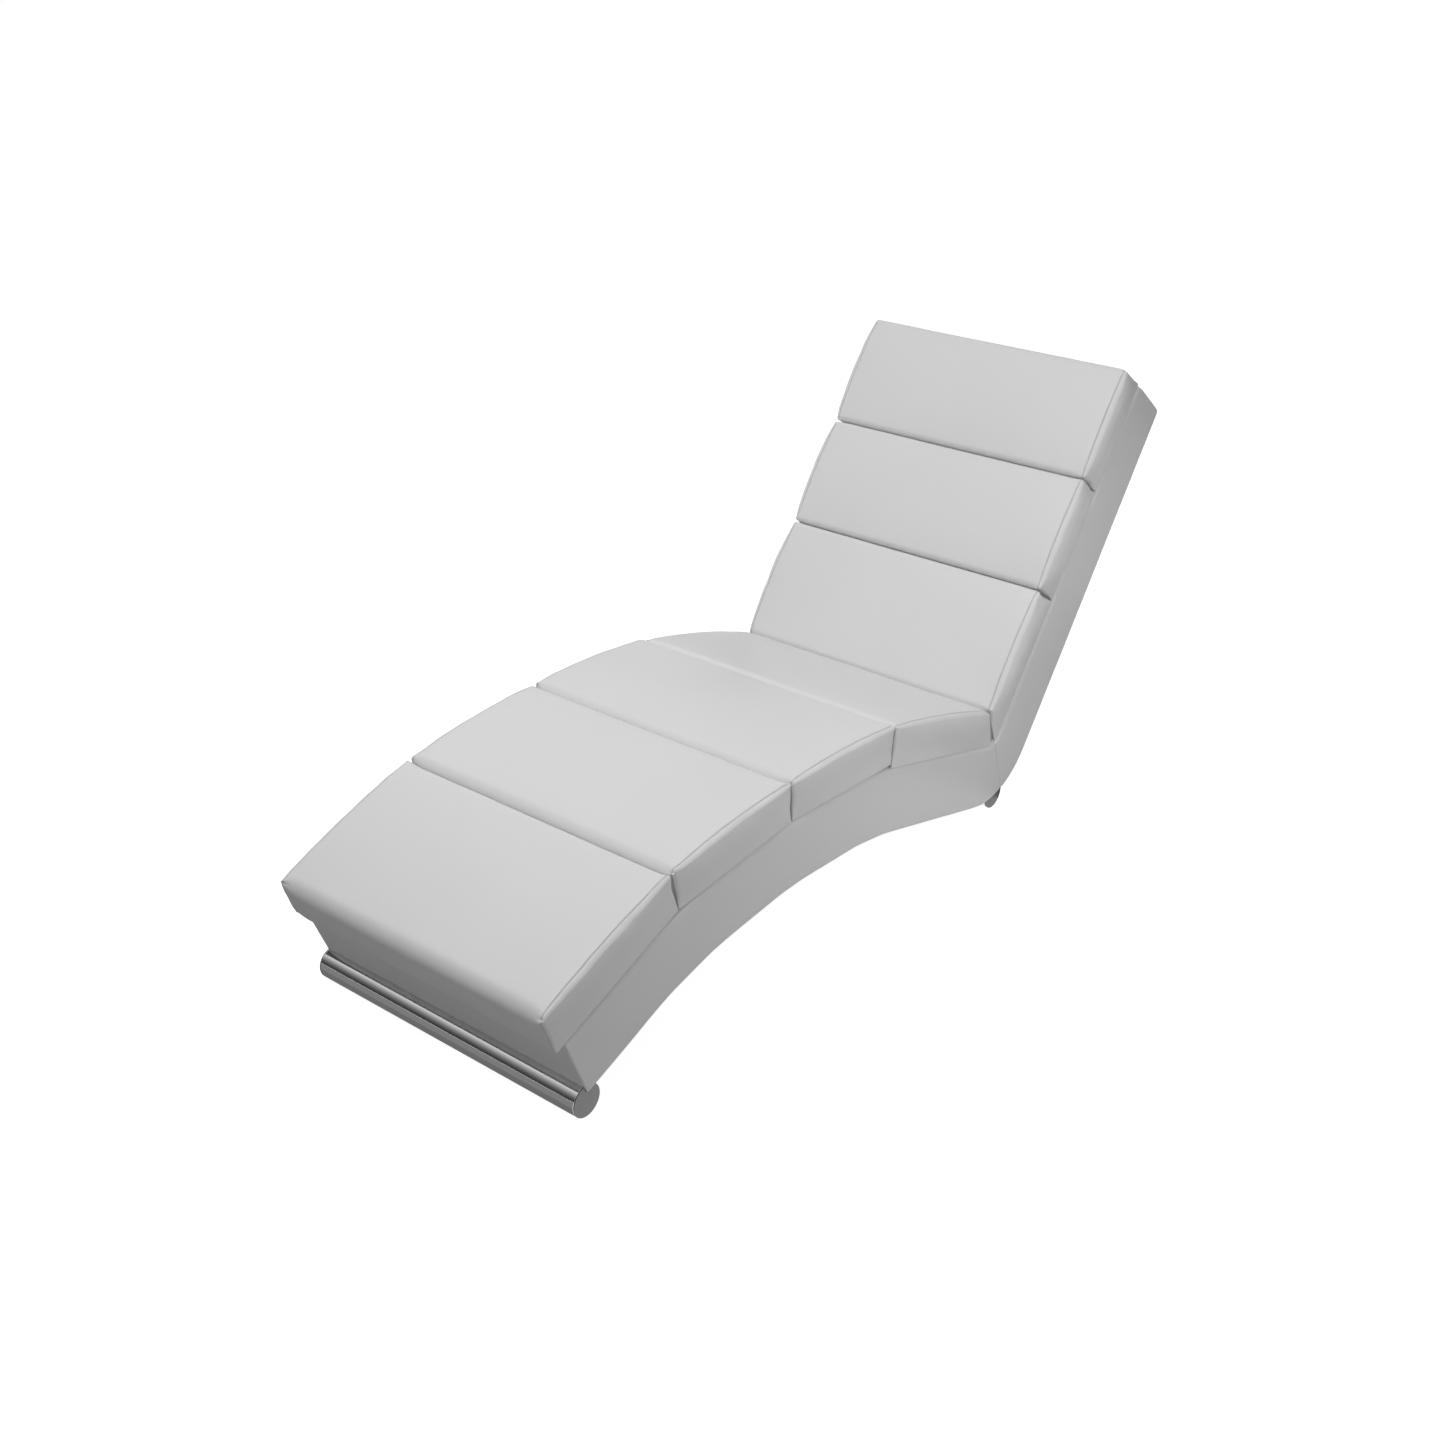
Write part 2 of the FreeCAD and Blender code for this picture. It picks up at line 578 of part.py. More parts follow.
def foot_tubes():
    for tube in ("front", "rear"):
        body = new_body(f"{tube}_tube", tube_frame(tube))
        sketch = new_sketch(body)
        draw_circle(sketch, ("0", "0"), TUBE_RADIUS)
        draw_circle(sketch, ("0", "0"), f"{TUBE_RADIUS} - Sizes.tube_wall")
        pad_out(body, sketch, "2 * (Layout.wall_half - Sizes.cap_flange)", "Symmetric")
        for kind, upward in (("bolt", True), ("access", False)):
            holes = new_sketch(body, "XY_Plane")
            for place in tube_bolt_places():
                draw_circle(holes, place, f"Sizes.tube_{kind}_diameter / 2")
            cut_in(body, holes, "Sizes.tube_diameter", reverse=upward)
        tube_caps(tube)
        bolts = [hexagon_bolt(f"{tube}_tube_bolt", x, "Layout.tube_bolt_seat",
                              f"{TUBE_RADIUS} - Layout.tube_bolt_seat + Sizes.tube_bolt_length",
                              "Sizes.tube_bolt_diameter / 2")
                 for x, _ in tube_bolt_places()]
        group(f"{tube}_tube_bolts", bolts, tube_frame(tube))


def cylinder(name, radius, height, x="0", y="0", z="0"):
    item = doc.addObject("Part::Cylinder", name)
    item.setExpression("Radius", radius)
    item.setExpression("Height", height)
    for letter, text in zip("xyz", (x, y, z)):
        item.setExpression(f"Placement.Base.{letter}", text)
    return item


def hexagon(name, radius, height, x, z):
    item = doc.addObject("Part::Prism", name)
    item.Polygon = 6
    item.setExpression("Circumradius", radius)
    item.setExpression("Height", height)
    item.setExpression("Placement.Base.x", x)
    item.setExpression("Placement.Base.z", z)
    return item


def join(name, first, second):
    item = doc.addObject("Part::Fuse", name)
    item.Base = first
    item.Tool = second
    return item


def cut_out(name, base, tool):
    item = doc.addObject("Part::Cut", name)
    item.Base = base
    item.Tool = tool
    return item


def group(label, members, placement):
    item = doc.addObject("Part::Compound", label)
    item.Label = label
    item.Links = members
    item.setExpression("Placement", placement)
    nodes.append(item)


def hexagon_bolt(name, x, base, length, radius):
    """A bolt along the upward axis with its head's bearing face at the base."""
    head = hexagon(f"{name}_head", "Sizes.bolt_head_radius", "Sizes.bolt_head_height", x,
                   f"{base} - Sizes.bolt_head_height")
    return join(name, head, cylinder(f"{name}_shank", radius, length, x, z=base))


def tube_caps(tube):
    """Flat discs with plugs that close both ends of a tube."""
    caps = []
    for side, turn in (("-", -90), ("", 90)):
        disc = cylinder(f"{tube}_cap_disc", TUBE_RADIUS, "Sizes.cap_flange")
        plug = cylinder(f"{tube}_cap_plug", f"{TUBE_RADIUS} - Sizes.tube_wall", "Sizes.cap_plug",
                        z="-Sizes.cap_plug")
        cap = join(f"{tube}_cap", disc, plug)
        spot = f"create(<<vector>>; {side}(Layout.wall_half - Sizes.cap_flange); 0; 0)"
        turned = f"create(<<rotation>>; create(<<vector>>; 0; 1; 0); {turn})"
        cap.setExpression("Placement", f"create(<<placement>>; {spot}; {turned})")
        caps.append(cap)
    group(f"{tube}_tube_caps", caps, tube_frame(tube))


def joint_fasteners():
    """Bolts through the hip rail and the lowest rail of the back, with washers and nuts."""
    radius = "Sizes.joint_bolt_diameter / 2"
    front = "-Sizes.hip_rail_thickness - Sizes.washer_thickness"
    rear = "Sizes.joint_rail_thickness"
    grip = "Sizes.hip_rail_thickness + Sizes.joint_rail_thickness + 2 * Sizes.washer_thickness"
    bolts, washers, nuts = [], [], []
    for x in joint_bolt_steps():
        bolts.append(hexagon_bolt("joint_bolt", x, front, f"{grip} + Sizes.nut_height", radius))
        for z in (front, rear):
            disc = cylinder("washer_disc", "Sizes.washer_radius", "Sizes.washer_thickness", x, z=z)
            bore = cylinder("washer_bore", radius, "Sizes.washer_thickness", x, z=z)
            washers.append(cut_out("washer", disc, bore))
        seat = f"{rear} + Sizes.washer_thickness"
        body = hexagon("nut_body", "Sizes.bolt_head_radius", "Sizes.nut_height", x, seat)
        bore = cylinder("nut_bore", radius, "Sizes.nut_height", x, z=seat)
        nuts.append(cut_out("nut", body, bore))
    for label, members in (("joint_bolts", bolts), ("joint_washers", washers), ("joint_nuts", nuts)):
        group(label, members, joint_frame())


# The seven pads, each a board, a foam block and a sewn cover

PADS = (
    {"name": "foot_pad", "facet": "foot", "start": "-Sizes.foot_overhang",
     "length": "Sizes.foot_length + Sizes.foot_overhang - Sizes.pad_clearance / 2",
     "lean": ("0", half_bend("foot", "calf")), "front": "Sizes.foot_roll"},
    {"name": "calf_pad", "facet": "calf", "start": "Sizes.pad_clearance / 2",
     "length": "Sizes.calf_length - Sizes.pad_clearance",
     "lean": (half_bend("foot", "calf"), half_bend("calf", "thigh")), "front": "Sizes.pad_edge_radius"},
    {"name": "thigh_pad", "facet": "thigh", "start": "Sizes.pad_clearance / 2",
     "length": "Sizes.thigh_length + Sizes.thigh_overhang - Sizes.pad_clearance / 2",
     "lean": (half_bend("calf", "thigh"), half_bend("thigh", "seat")), "front": "Sizes.pad_edge_radius"},
    {"name": "seat_pad", "facet": "seat", "start": "Sizes.thigh_overhang + Sizes.pad_clearance",
     "length": "Sizes.seat_length - Sizes.thigh_overhang - Sizes.pad_clearance - Sizes.seat_pad_stop",
     "lean": (half_bend("thigh", "seat"), "0"), "front": "Sizes.pad_edge_radius"},
    {"name": "lumbar_pad", "facet": "back", "start": "Sizes.lumbar_start",
     "length": "Layout.lumbar_length", "lean": ("0", "0"), "front": "Sizes.pad_edge_radius"},
    {"name": "shoulder_pad", "facet": "back", "start": "Layout.shoulder_start",
     "length": "Layout.shoulder_length", "lean": ("0", "0"), "front": "Sizes.pad_edge_radius"},
    {"name": "head_pad", "facet": "back", "start": "Layout.head_start",
     "length": "Layout.head_length", "lean": ("0", "0"), "front": "Sizes.pad_edge_radius"},
)
# Sections across a pad: place, how far the ends draw in, crown, and whether it is a sewn end
PAD_SECTIONS = (
    ("-Layout.pad_half", "Sizes.pad_draw", "Sizes.pad_end_crown", True),
    ("-(Layout.pad_half - Sizes.pad_shoulder)", "0", "(Sizes.pad_crown + Sizes.pad_end_crown) / 2", False),
    ("0", "0", "Sizes.pad_crown", False),
    ("(Layout.pad_half - Sizes.pad_shoulder)", "0", "(Sizes.pad_crown + Sizes.pad_end_crown) / 2", False),
    ("Layout.pad_half", "Sizes.pad_draw", "Sizes.pad_end_crown", True),
)


def pad_side(foot, outward, lean, top, base, radius):
    """Foot of a pad's leaning side and the two ends of the round edge above it."""
    tilt = f"({lean})"
    reach = f"({radius} / tan(45 - {tilt} / 2))"
    corner = f"{foot} {outward} {top} * tan({tilt})"
    opposite = "-" if outward == "+" else "+"
    return ((f"{foot} {outward} {base} * tan({tilt})", base),
            (f"{corner} {opposite} {reach} * sin({tilt})", f"{top} - {reach} * cos({tilt})"),
            (f"{corner} {opposite} {reach}", top))


def pad_section(body, pad, section, skin, base):
    """One section of a pad: flat below, leaning sides, round upper edges and a crowned top."""
    place, draw_in, crown, sewn = section
    lift = place
    if sewn:
        lift = f"{place} + {skin}" if place.startswith("-") else f"{place} - {skin}"
    near, far = f"({draw_in} + {skin})", f"(({pad['length']}) - {draw_in} - {skin})"
    top = f"(Sizes.pad_thickness - {draw_in} - {skin})"
    radii = [f"(Sizes.pad_end_radius - {skin})" if sewn else f"({edge} - {skin})"
             for edge in (pad["front"], "Sizes.pad_edge_radius")]
    front_foot, front_side, front_top = pad_side(near, "-", pad["lean"][0], top, base, radii[0])
    rear_foot, rear_side, rear_top = pad_side(far, "+", pad["lean"][1], top, base, radii[1])
    half = f"(({rear_top[0]}) - ({front_top[0]})) / 2"
    crown_radius = f"(({half}) ^ 2 + ({crown}) ^ 2) / (2 * ({crown}))"
    points = [front_foot, rear_foot, rear_side, rear_top, front_top, front_side]
    edges = [None, None, (radii[1], True), (crown_radius, True), (radii[0], True), None]
    sketch = new_sketch(body, lift=lift)
    draw(sketch, points, edges)
    return sketch


def loft(body, pad, kind, skin, base):
    sketches = [pad_section(body, pad, section, skin, base) for section in PAD_SECTIONS]
    doc.recompute()
    feature = body.newObject(kind, f"{body.Name}_loft")
    feature.Ruled = True
    feature.Profile = sketches[0]
    feature.Sections = [(sketch, [""]) for sketch in sketches[1:]]
    doc.recompute()


def pad_pieces(pad):
    placement = pad_frame(pad)
    skin = "Sizes.pad_cover_thickness"
    cover = new_body(f"{pad['name']}_cover", placement)
    loft(cover, pad, "PartDesign::AdditiveLoft", "0", "0")
    loft(cover, pad, "PartDesign::SubtractiveLoft", skin, "0")
    foam = new_body(f"{pad['name']}_foam", placement)
    loft(foam, pad, "PartDesign::AdditiveLoft", skin, "Sizes.pad_board_thickness")
    board = new_body(f"{pad['name']}_board", placement)
    sketch = new_sketch(board, "XY_Plane")
    half, shoulder = f"Layout.pad_half - {skin}", "Layout.pad_half - Sizes.pad_shoulder"
    near, drawn = skin, f"(Sizes.pad_draw + {skin})"
    length = f"({pad['length']})"
    draw_polygon(sketch, [(f"-({half})", drawn), (f"-({shoulder})", near), (shoulder, near), (half, drawn),
                          (half, f"{length} - {drawn}"), (shoulder, f"{length} - {near}"),
                          (f"-({shoulder})", f"{length} - {near}"), (f"-({half})", f"{length} - {drawn}")])
    pad_out(board, sketch, "Sizes.pad_board_thickness")
    holes = new_sketch(board, "XY_Plane")
    for place in pad_screw_places(pad):
        draw_circle(holes, place, "Sizes.pad_screw_diameter / 2")
    cut_in(board, holes, "Sizes.pad_screw_bite", reverse=True)


def pad_screws():
    """Screws up through the decks into the pad boards."""
    screws = []
    for pad in PADS:
        members = []
        for x, y in pad_screw_places(pad):
            seat = "-Sizes.deck_thickness"
            head = cylinder("screw_head", "Sizes.pad_screw_head_radius", "Sizes.pad_screw_head_height",
                            x, y, f"{seat} - Sizes.pad_screw_head_height")
            shank = cylinder("screw_shank", "Sizes.pad_screw_diameter / 2",
                             "Sizes.deck_thickness + Sizes.pad_screw_bite", x, y, seat)
            members.append(join("screw", head, shank))
        row = doc.addObject("Part::Compound", f"{pad['name']}_screw_row")
        row.Links = members
        row.setExpression("Placement", pad_frame(pad))
        screws.append(row)
    group("pad_screws", screws, frame_at(("0", "0"), "0"))


def check_and_write():
    doc.recompute()
    for item in doc.Objects:
        if "Invalid" in item.State or "Error" in item.State:
            raise RuntimeError(f"{item.Label} did not recompute: {item.State}")
    for node in nodes:
        if node.Shape.isNull() or not node.Shape.isValid() or not node.Shape.Solids:
            raise RuntimeError(f"{node.Label} has no valid solid")
    os.makedirs("parts", exist_ok=True)
    for node in nodes:
        node.Shape.exportStep(f"parts/{node.Label}.step")
        print(f"{node.Label}: {len(node.Shape.Solids)} solid, {node.Shape.Volume / 1000:.1f} cm3")


set_out()
seat_sides()
seat_covers()
seat_rails()
seat_deck()
foot_apron()
dust_cover()
back_sides()
back_covers()
back_rails()
back_boards()
foot_tubes()
joint_fasteners()
for each_pad in PADS:
    pad_pieces(each_pad)
pad_screws()
check_and_write()
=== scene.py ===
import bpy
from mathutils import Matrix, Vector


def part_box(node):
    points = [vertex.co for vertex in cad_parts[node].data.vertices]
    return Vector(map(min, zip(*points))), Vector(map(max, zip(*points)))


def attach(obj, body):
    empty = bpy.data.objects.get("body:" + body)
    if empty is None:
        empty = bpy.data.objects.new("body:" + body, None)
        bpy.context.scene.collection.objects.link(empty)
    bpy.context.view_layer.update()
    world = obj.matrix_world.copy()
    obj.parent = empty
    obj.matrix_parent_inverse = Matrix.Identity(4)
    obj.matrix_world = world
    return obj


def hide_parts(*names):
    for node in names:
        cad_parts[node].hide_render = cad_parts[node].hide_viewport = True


bl_info = {
    "name": "Wave chaise longue",
    "version": (1, 0, 0),
    "blender": (4, 5, 0),
    "location": "3D View > Sidebar > Chaise",
    "description": "Upholstery, tubes and finishes of a chaise longue with seven firm pads",
    "category": "Add Mesh",
}

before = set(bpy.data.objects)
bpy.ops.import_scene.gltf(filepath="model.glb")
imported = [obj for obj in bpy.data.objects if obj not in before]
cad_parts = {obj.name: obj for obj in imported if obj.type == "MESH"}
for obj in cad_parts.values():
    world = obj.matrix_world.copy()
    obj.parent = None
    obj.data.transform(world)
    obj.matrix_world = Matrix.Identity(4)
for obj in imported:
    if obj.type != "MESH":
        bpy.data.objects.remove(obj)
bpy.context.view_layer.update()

from collections import namedtuple
from math import ceil, cos, hypot, pi, radians, sin, sqrt, tan

import bmesh
import bpy
from bpy.props import FloatProperty, FloatVectorProperty, PointerProperty
from mathutils import Matrix, Vector, noise

FRONT_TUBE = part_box("front_tube")
REAR_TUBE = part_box("rear_tube")
SIDE_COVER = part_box("seat_cover_right")


def length_property(name, description, default):
    return FloatProperty(name=name, description=description, default=default, unit="LENGTH",
                         subtype="DISTANCE")


def slope_property(name, description, degrees):
    return FloatProperty(name=name, description=description, default=radians(degrees),
                         unit="ROTATION", subtype="ANGLE")


def colour_property(name, description, default):
    return FloatVectorProperty(name=name, description=description, default=default, size=3,
                               min=0, max=1, subtype="COLOR")


class ChaiseFrameSizes(bpy.types.PropertyGroup):
    """Sizes of the covered frame and its foot tubes."""
    half_width: length_property("Half width", "From the middle to a side cover", SIDE_COVER[1][0])
    depth: length_property("Frame depth", "From the deck line to the underside", 0.110)
    lip: length_property("Cover lip", "How far a side cover folds over the frame's edge", 0.021)
    edge_roll: length_property("Upper edge", "Radius of the padded upper edge", 0.0095)
    seam_roll: length_property("Seam roll", "Radius with which a cover turns in at a seam", 0.0025)
    puff: length_property("Cover puff", "How far the covers swell between their edges", 0.0012)
    bend_radius: length_property("Bend radius", "Of the deck line at its three bends", 0.450)
    under_radius: length_property("Underside radius", "Of the underside at its three bends", 0.740)
    corner_radius: length_property("Corner radius", "Outside, where the back meets the seat", 0.140)
    top_radius: length_property("Top radius", "At the upper end of the back", 0.007)
    foot_length: length_property("Foot deck", "Deck line under the foot pad", 0.243)
    calf_length: length_property("Calf deck", "Deck line under the calf pad", 0.250)
    thigh_length: length_property("Thigh deck", "Deck line under the thigh pad", 0.222)
    seat_length: length_property("Seat deck", "Deck line from the lap bend to the hip", 0.360)
    back_length: length_property("Back deck", "Deck line of the back", 0.652)
    foot_slope: slope_property("Foot slope", "Slope of the foot deck", 20.4)
    calf_slope: slope_property("Calf slope", "Slope of the calf deck", 4.2)
    thigh_slope: slope_property("Thigh slope", "Slope of the thigh deck", -4.1)
    seat_slope: slope_property("Seat slope", "Slope of the seat deck", -16.3)
    back_slope: slope_property("Back slope", "Slope of the back", 52.7)
    tube_bite: length_property("Tube bite", "Front corner below the top of its tube", 0.013)
    tube_wall: length_property("Tube wall", "Wall of the foot tubes", 0.0015)
    cap_flange: length_property("Cap", "Flat disc that closes a tube", 0.002)


class ChaisePadSizes(bpy.types.PropertyGroup):
    """Sizes of the seven pads."""
    thickness: length_property("Pad thickness", "Of a pad at its shoulders", 0.060)
    crown: length_property("Crown", "Rise of a pad's middle", 0.008)
    end_crown: length_property("End crown", "Rise of a pad's top along its sewn ends", 0.0065)
    inset: length_property("Pad inset", "Of a pad's ends from the side covers", 0.002)
    edge_radius: length_property("Long edge", "Radius of the long upper edges of the seat's pads", 0.014)
    back_radius: length_property("Back long edge", "Radius of the long upper edges of the back's pads", 0.009)
    sewn_radius: length_property("Sewn corner", "Radius of the long edges at the sewn ends", 0.005)
    front_roll: length_property("Foot roll", "Radius of the foot pad's front edge", 0.020)
    end_radius: length_property("End edge", "Radius where an end panel turns over", 0.006)
    base_radius: length_property("Lower edge", "Radius of the lower edges", 0.001)
    seam_inset: length_property("Seam inset", "From a pad's end to its seam", 0.0045)
    seam_depth: length_property("Seam depth", "Of the crease along a seam", 0.0011)
    seam_width: length_property("Seam width", "Half the width of that crease", 0.0018)
    shoulder: length_property("Shoulder", "Over which the sewn ends draw in", 0.030)
    draw_in: length_property("Draw-in", "How far the sewn ends draw in", 0.0010)
    end_puff: length_property("End puff", "How far an end panel of the seat swells", 0.0070)
    back_puff: length_property("Back end puff", "How far an end panel of the back swells", 0.0100)
    lumbar_skirt: length_property("Lumbar skirt", "How far the lumbar pad reaches down to the hip", 0.0382)
    seat_skirt: length_property("Seat skirt", "How far the seat pad reaches back to the hip", 0.026)
    foot_rise: length_property("Foot rise", "Extra filling at the foot pad's front edge", 0.0085)
    seat_rise: length_property("Seat rise", "Extra filling of the seat's pads", 0.0035)
    lap_rise: length_property("Lap rise", "Extra filling at the seat pad's front edge", 0.0075)
    hem: length_property("Hem", "How far a cover wraps under its board", 0.0007)
    side_puff: length_property("Side puff", "How far a long side swells against its neighbour", 0.0009)
    clearance: length_property("Clearance", "Between pads at the deck", 0.002)
    gap: length_property("Back gap", "Between pads of the back", 0.002)
    foot_overhang: length_property("Foot overhang", "Of the foot pad past the apron", 0.015)
    thigh_overhang: length_property("Thigh overhang", "Of the thigh pad past the lap bend", 0.030)
    seat_stop: length_property("Seat stop", "From the seat pad to the hip", 0.035)
    lumbar_start: length_property("Lumbar start", "From the hip to the lumbar pad", 0.041)
    lumbar_length: length_property("Lumbar pad", "Length of the lumbar pad", 0.21655)
    shoulder_length: length_property("Shoulder pad", "Length of the shoulder pad", 0.1961)
    head_overhang: length_property("Head overhang", "Of the head pad past the frame", 0.003)
    pucker: length_property("Puckers", "Depth of the small folds beside a seam", 0.0012)
    unevenness: length_property("Unevenness", "Of a pad's top", 0.0010)


class ChaiseColours(bpy.types.PropertyGroup):
    """Colours of the finishes."""
    leatherette: colour_property("Leatherette", "White faux leather", (0.69, 0.69, 0.69))
    thread: colour_property("Thread", "Sewing thread", (0.60, 0.60, 0.60))
    chrome: colour_property("Chrome", "Polished chrome", (0.72, 0.72, 0.73))
    steel: colour_property("Steel", "Dull steel of the caps", (0.16, 0.16, 0.16))
    zinc: colour_property("Zinc", "Plated fasteners", (0.52, 0.53, 0.55))
    plywood: colour_property("Plywood", "Birch plywood", (0.55, 0.38, 0.22))
    hardboard: colour_property("Hardboard", "Pressed board", (0.22, 0.13, 0.07))
    dust_cloth: colour_property("Dust cloth", "Black cloth under the seat", (0.02, 0.02, 0.021))
    floor: colour_property("Floor", "Studio floor", (0.36, 0.36, 0.36))


def frame_sizes():
    return bpy.context.scene.chaise_frame


def pad_sizes():
    return bpy.context.scene.chaise_pads


def colours():
    return bpy.context.scene.chaise_colours


# The deck line that every cover and pad follows

FACETS = ("foot", "calf", "thigh", "seat", "back")


def facet_slope(facet):
    return getattr(frame_sizes(), f"{facet}_slope")


def facet_length(facet):
    return getattr(frame_sizes(), f"{facet}_length")


def facet_start(facet):
    """The point (y, z) where a facet of the deck line begins."""
    sizes = frame_sizes()
    tube_y = (FRONT_TUBE[0][1] + FRONT_TUBE[1][1]) / 2
    y = tube_y - sizes.depth * sin(sizes.foot_slope)
    z = FRONT_TUBE[1][2] - sizes.tube_bite + sizes.depth * cos(sizes.foot_slope)
    for name in FACETS[:FACETS.index(facet)]:
        y += facet_length(name) * cos(facet_slope(name))
        z += facet_length(name) * sin(facet_slope(name))
    return y, z


def on_facet(facet, along, below=0.0, x=0.0):
    y, z = facet_start(facet)
    slope = facet_slope(facet)
    return Vector((x, y + along * cos(slope) + below * sin(slope),
                   z + along * sin(slope) - below * cos(slope)))


def bend_tangent(before, after, radius):
    """From the meeting point of two facets to the end of the arc between them."""
    return radius * tan(abs(facet_slope(before) - facet_slope(after)) / 2)


def seat_moves():
    """Straights and turns of the deck line from the apron to the mitre."""
    sizes = frame_sizes()
    moves, start = [], 0.0
    for before, after in zip(FACETS[:3], FACETS[1:4]):
        tangent = bend_tangent(before, after, sizes.bend_radius)
        moves.append(("straight", facet_slope(before), facet_length(before) - start - tangent))
        centre = on_facet(before, facet_length(before) - tangent, sizes.bend_radius)
        moves.append(("turn", centre, facet_slope(after) - facet_slope(before)))
        start = tangent
    tangent = hip_tangent()
    moves.append(("straight", sizes.seat_slope, sizes.seat_length - start - tangent))
    moves.append(("turn", hip_centre(), (sizes.back_slope - sizes.seat_slope) / 2))
    return moves


def hip_tangent():
    sizes = frame_sizes()
    return bend_tangent("seat", "back", sizes.corner_radius - sizes.depth)


def hip_centre():
    """Centre of the rounded corner between seat and back, above the deck line."""
    sizes = frame_sizes()
    return on_facet("seat", sizes.seat_length - hip_tangent(), sizes.depth - sizes.corner_radius)


def back_moves():
    sizes = frame_sizes()
    return [("turn", hip_centre(), (sizes.back_slope - sizes.seat_slope) / 2),
            ("straight", sizes.back_slope, sizes.back_length - hip_tangent())]


# Mesh helpers

COVER_STEP = 0.012
TURN_STEP = radians(2.0)
NO_SLIDE = Vector((0, 0, 0))
ROLL_LIMIT = 0.0011
SHARP_ANGLE = radians(28)
RIM_CREASE = 0.9


def verts_of(geometry):
    return [item for item in geometry if isinstance(item, bmesh.types.BMVert)]


def edges_of(geometry):
    return [item for item in geometry if isinstance(item, bmesh.types.BMEdge)]


def sweep(bm, section, moves):
    """Draws a chain of points along straights and turns; each vertex keeps its run and its place."""
    run_layer = bm.verts.layers.float.new("run")
    place_layer = bm.verts.layers.float.new("place")
    chain = [bm.verts.new(point) for point in section]
    place = 0.0
    for vert, following in zip(chain, chain[1:] + chain[-1:]):
        vert[place_layer] = place
        place += (following.co - vert.co).length
    edges = [bm.edges.new(pair) for pair in zip(chain, chain[1:])]
    run = 0.0
    for kind, where, amount in moves:
        steps = max(1, ceil(amount / COVER_STEP if kind == "straight" else abs(amount) / TURN_STEP))
        for _ in range(steps):
            if kind == "straight":
                made = bmesh.ops.extrude_edge_only(bm, edges=edges)["geom"]
                slide = Vector((0, cos(where), sin(where))) * (amount / steps)
                bmesh.ops.translate(bm, verts=verts_of(made), vec=slide)
                run += amount / steps
            else:
                before = [v.co.copy() for e in edges for v in e.verts]
                made = bmesh.ops.spin(bm, geom=edges, cent=where, axis=(1, 0, 0), dvec=NO_SLIDE,
                                      angle=amount / steps, steps=1)["geom_last"]
                run += abs(amount / steps) * max((point - where).yz.length for point in before)
            edges = edges_of(made)
            for edge in edges:
                for vert in edge.verts:
                    vert[run_layer] = run
    return run_layer, place_layer, run, place


def face_outwards(bm, outward):
    """Turns an open sheet's faces so that they look along a direction on average."""
    bmesh.ops.recalc_face_normals(bm, faces=bm.faces[:])
    total = sum((face.normal.dot(outward) * face.calc_area() for face in bm.faces), 0.0)
    if total < 0:
        bmesh.ops.reverse_faces(bm, faces=bm.faces[:])
    bm.normal_update()


def quarter(distance, radius):
    """How far a rolled edge has turned in, at a distance from its end, but not as far as the boards."""
    if distance >= radius:
        return 0.0
    return min(ROLL_LIMIT, radius - sqrt(radius ** 2 - (radius - distance) ** 2))


def finish_piece(bm, name, material, nodes, wall=0.0, smooth=1):
    """Makes the object, gives it its finish and puts it in place of its CAD nodes."""
    mesh = bpy.data.meshes.new(name)
    bm.to_mesh(mesh)
    bm.free()
    mesh.shade_smooth()
    piece = bpy.data.objects.new(name, mesh)
    bpy.context.scene.collection.objects.link(piece)
    mesh.materials.append(material)
    if not smooth:
        mesh.set_sharp_from_angle(angle=SHARP_ANGLE)
    if wall:
        solid = piece.modifiers.new("wall", "SOLIDIFY")
        solid.thickness = wall
        solid.offset = -1
        solid.edge_crease_outer = solid.edge_crease_inner = RIM_CREASE
    if smooth:
        surface = piece.modifiers.new("surface", "SUBSURF")
        surface.levels = smooth
        surface.render_levels = smooth
    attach(piece, "root")
    if nodes:
        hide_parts(*nodes)
    return piece


def ripple(point, scale, seed):
    """Smooth repeatable unevenness between -1 and 1."""
    return noise.noise(Vector(point) * scale + Vector((seed * 7.3, seed * 3.1, seed * 5.7)))


# Finishes

def new_material(name):
    material = bpy.data.materials.get(name)
    if material:
        return material, None
    material = bpy.data.materials.new(name)
    material.use_nodes = True
    return material, material.node_tree


def feed(tree, item, inputs):
    """Links sockets to a node's inputs and sets plain values there."""
    for key, setting in inputs.items():
        if isinstance(setting, bpy.types.NodeSocket):
            tree.links.new(setting, item.inputs[key])
        else:
            item.inputs[key].default_value = setting


def add(tree, kind, inputs=None, **settings):
    item = tree.nodes.new(kind)
    for key, setting in settings.items():
        setattr(item, key, setting)
    feed(tree, item, inputs or {})
    return item


def dress(tree, inputs):
    """Gives a new material's shader its values and its links."""
    feed(tree, next(item for item in tree.nodes if item.type == "BSDF_PRINCIPLED"), inputs)


def math(tree, operation, first, second=0.0):
    return add(tree, "ShaderNodeMath", {0: first, 1: second}, operation=operation).outputs[0]


def remap(tree, source, low, high, to_low, to_high):
    return add(tree, "ShaderNodeMapRange", {"Value": source, "From Min": low, "From Max": high,
                                            "To Min": to_low, "To Max": to_high},
               interpolation_type="SMOOTHSTEP").outputs[0]


def shade(colour, factor):
    return (*(channel * factor for channel in colour), 1)


def blend_colours(tree, factor, first, second):
    return add(tree, "ShaderNodeMix", {0: factor, 6: first, 7: second}, data_type="RGBA").outputs[2]


def own_place(tree):
    return add(tree, "ShaderNodeTexCoord").outputs["Object"]


def own_value(tree, name):
    return add(tree, "ShaderNodeAttribute", attribute_name=name).outputs["Fac"]


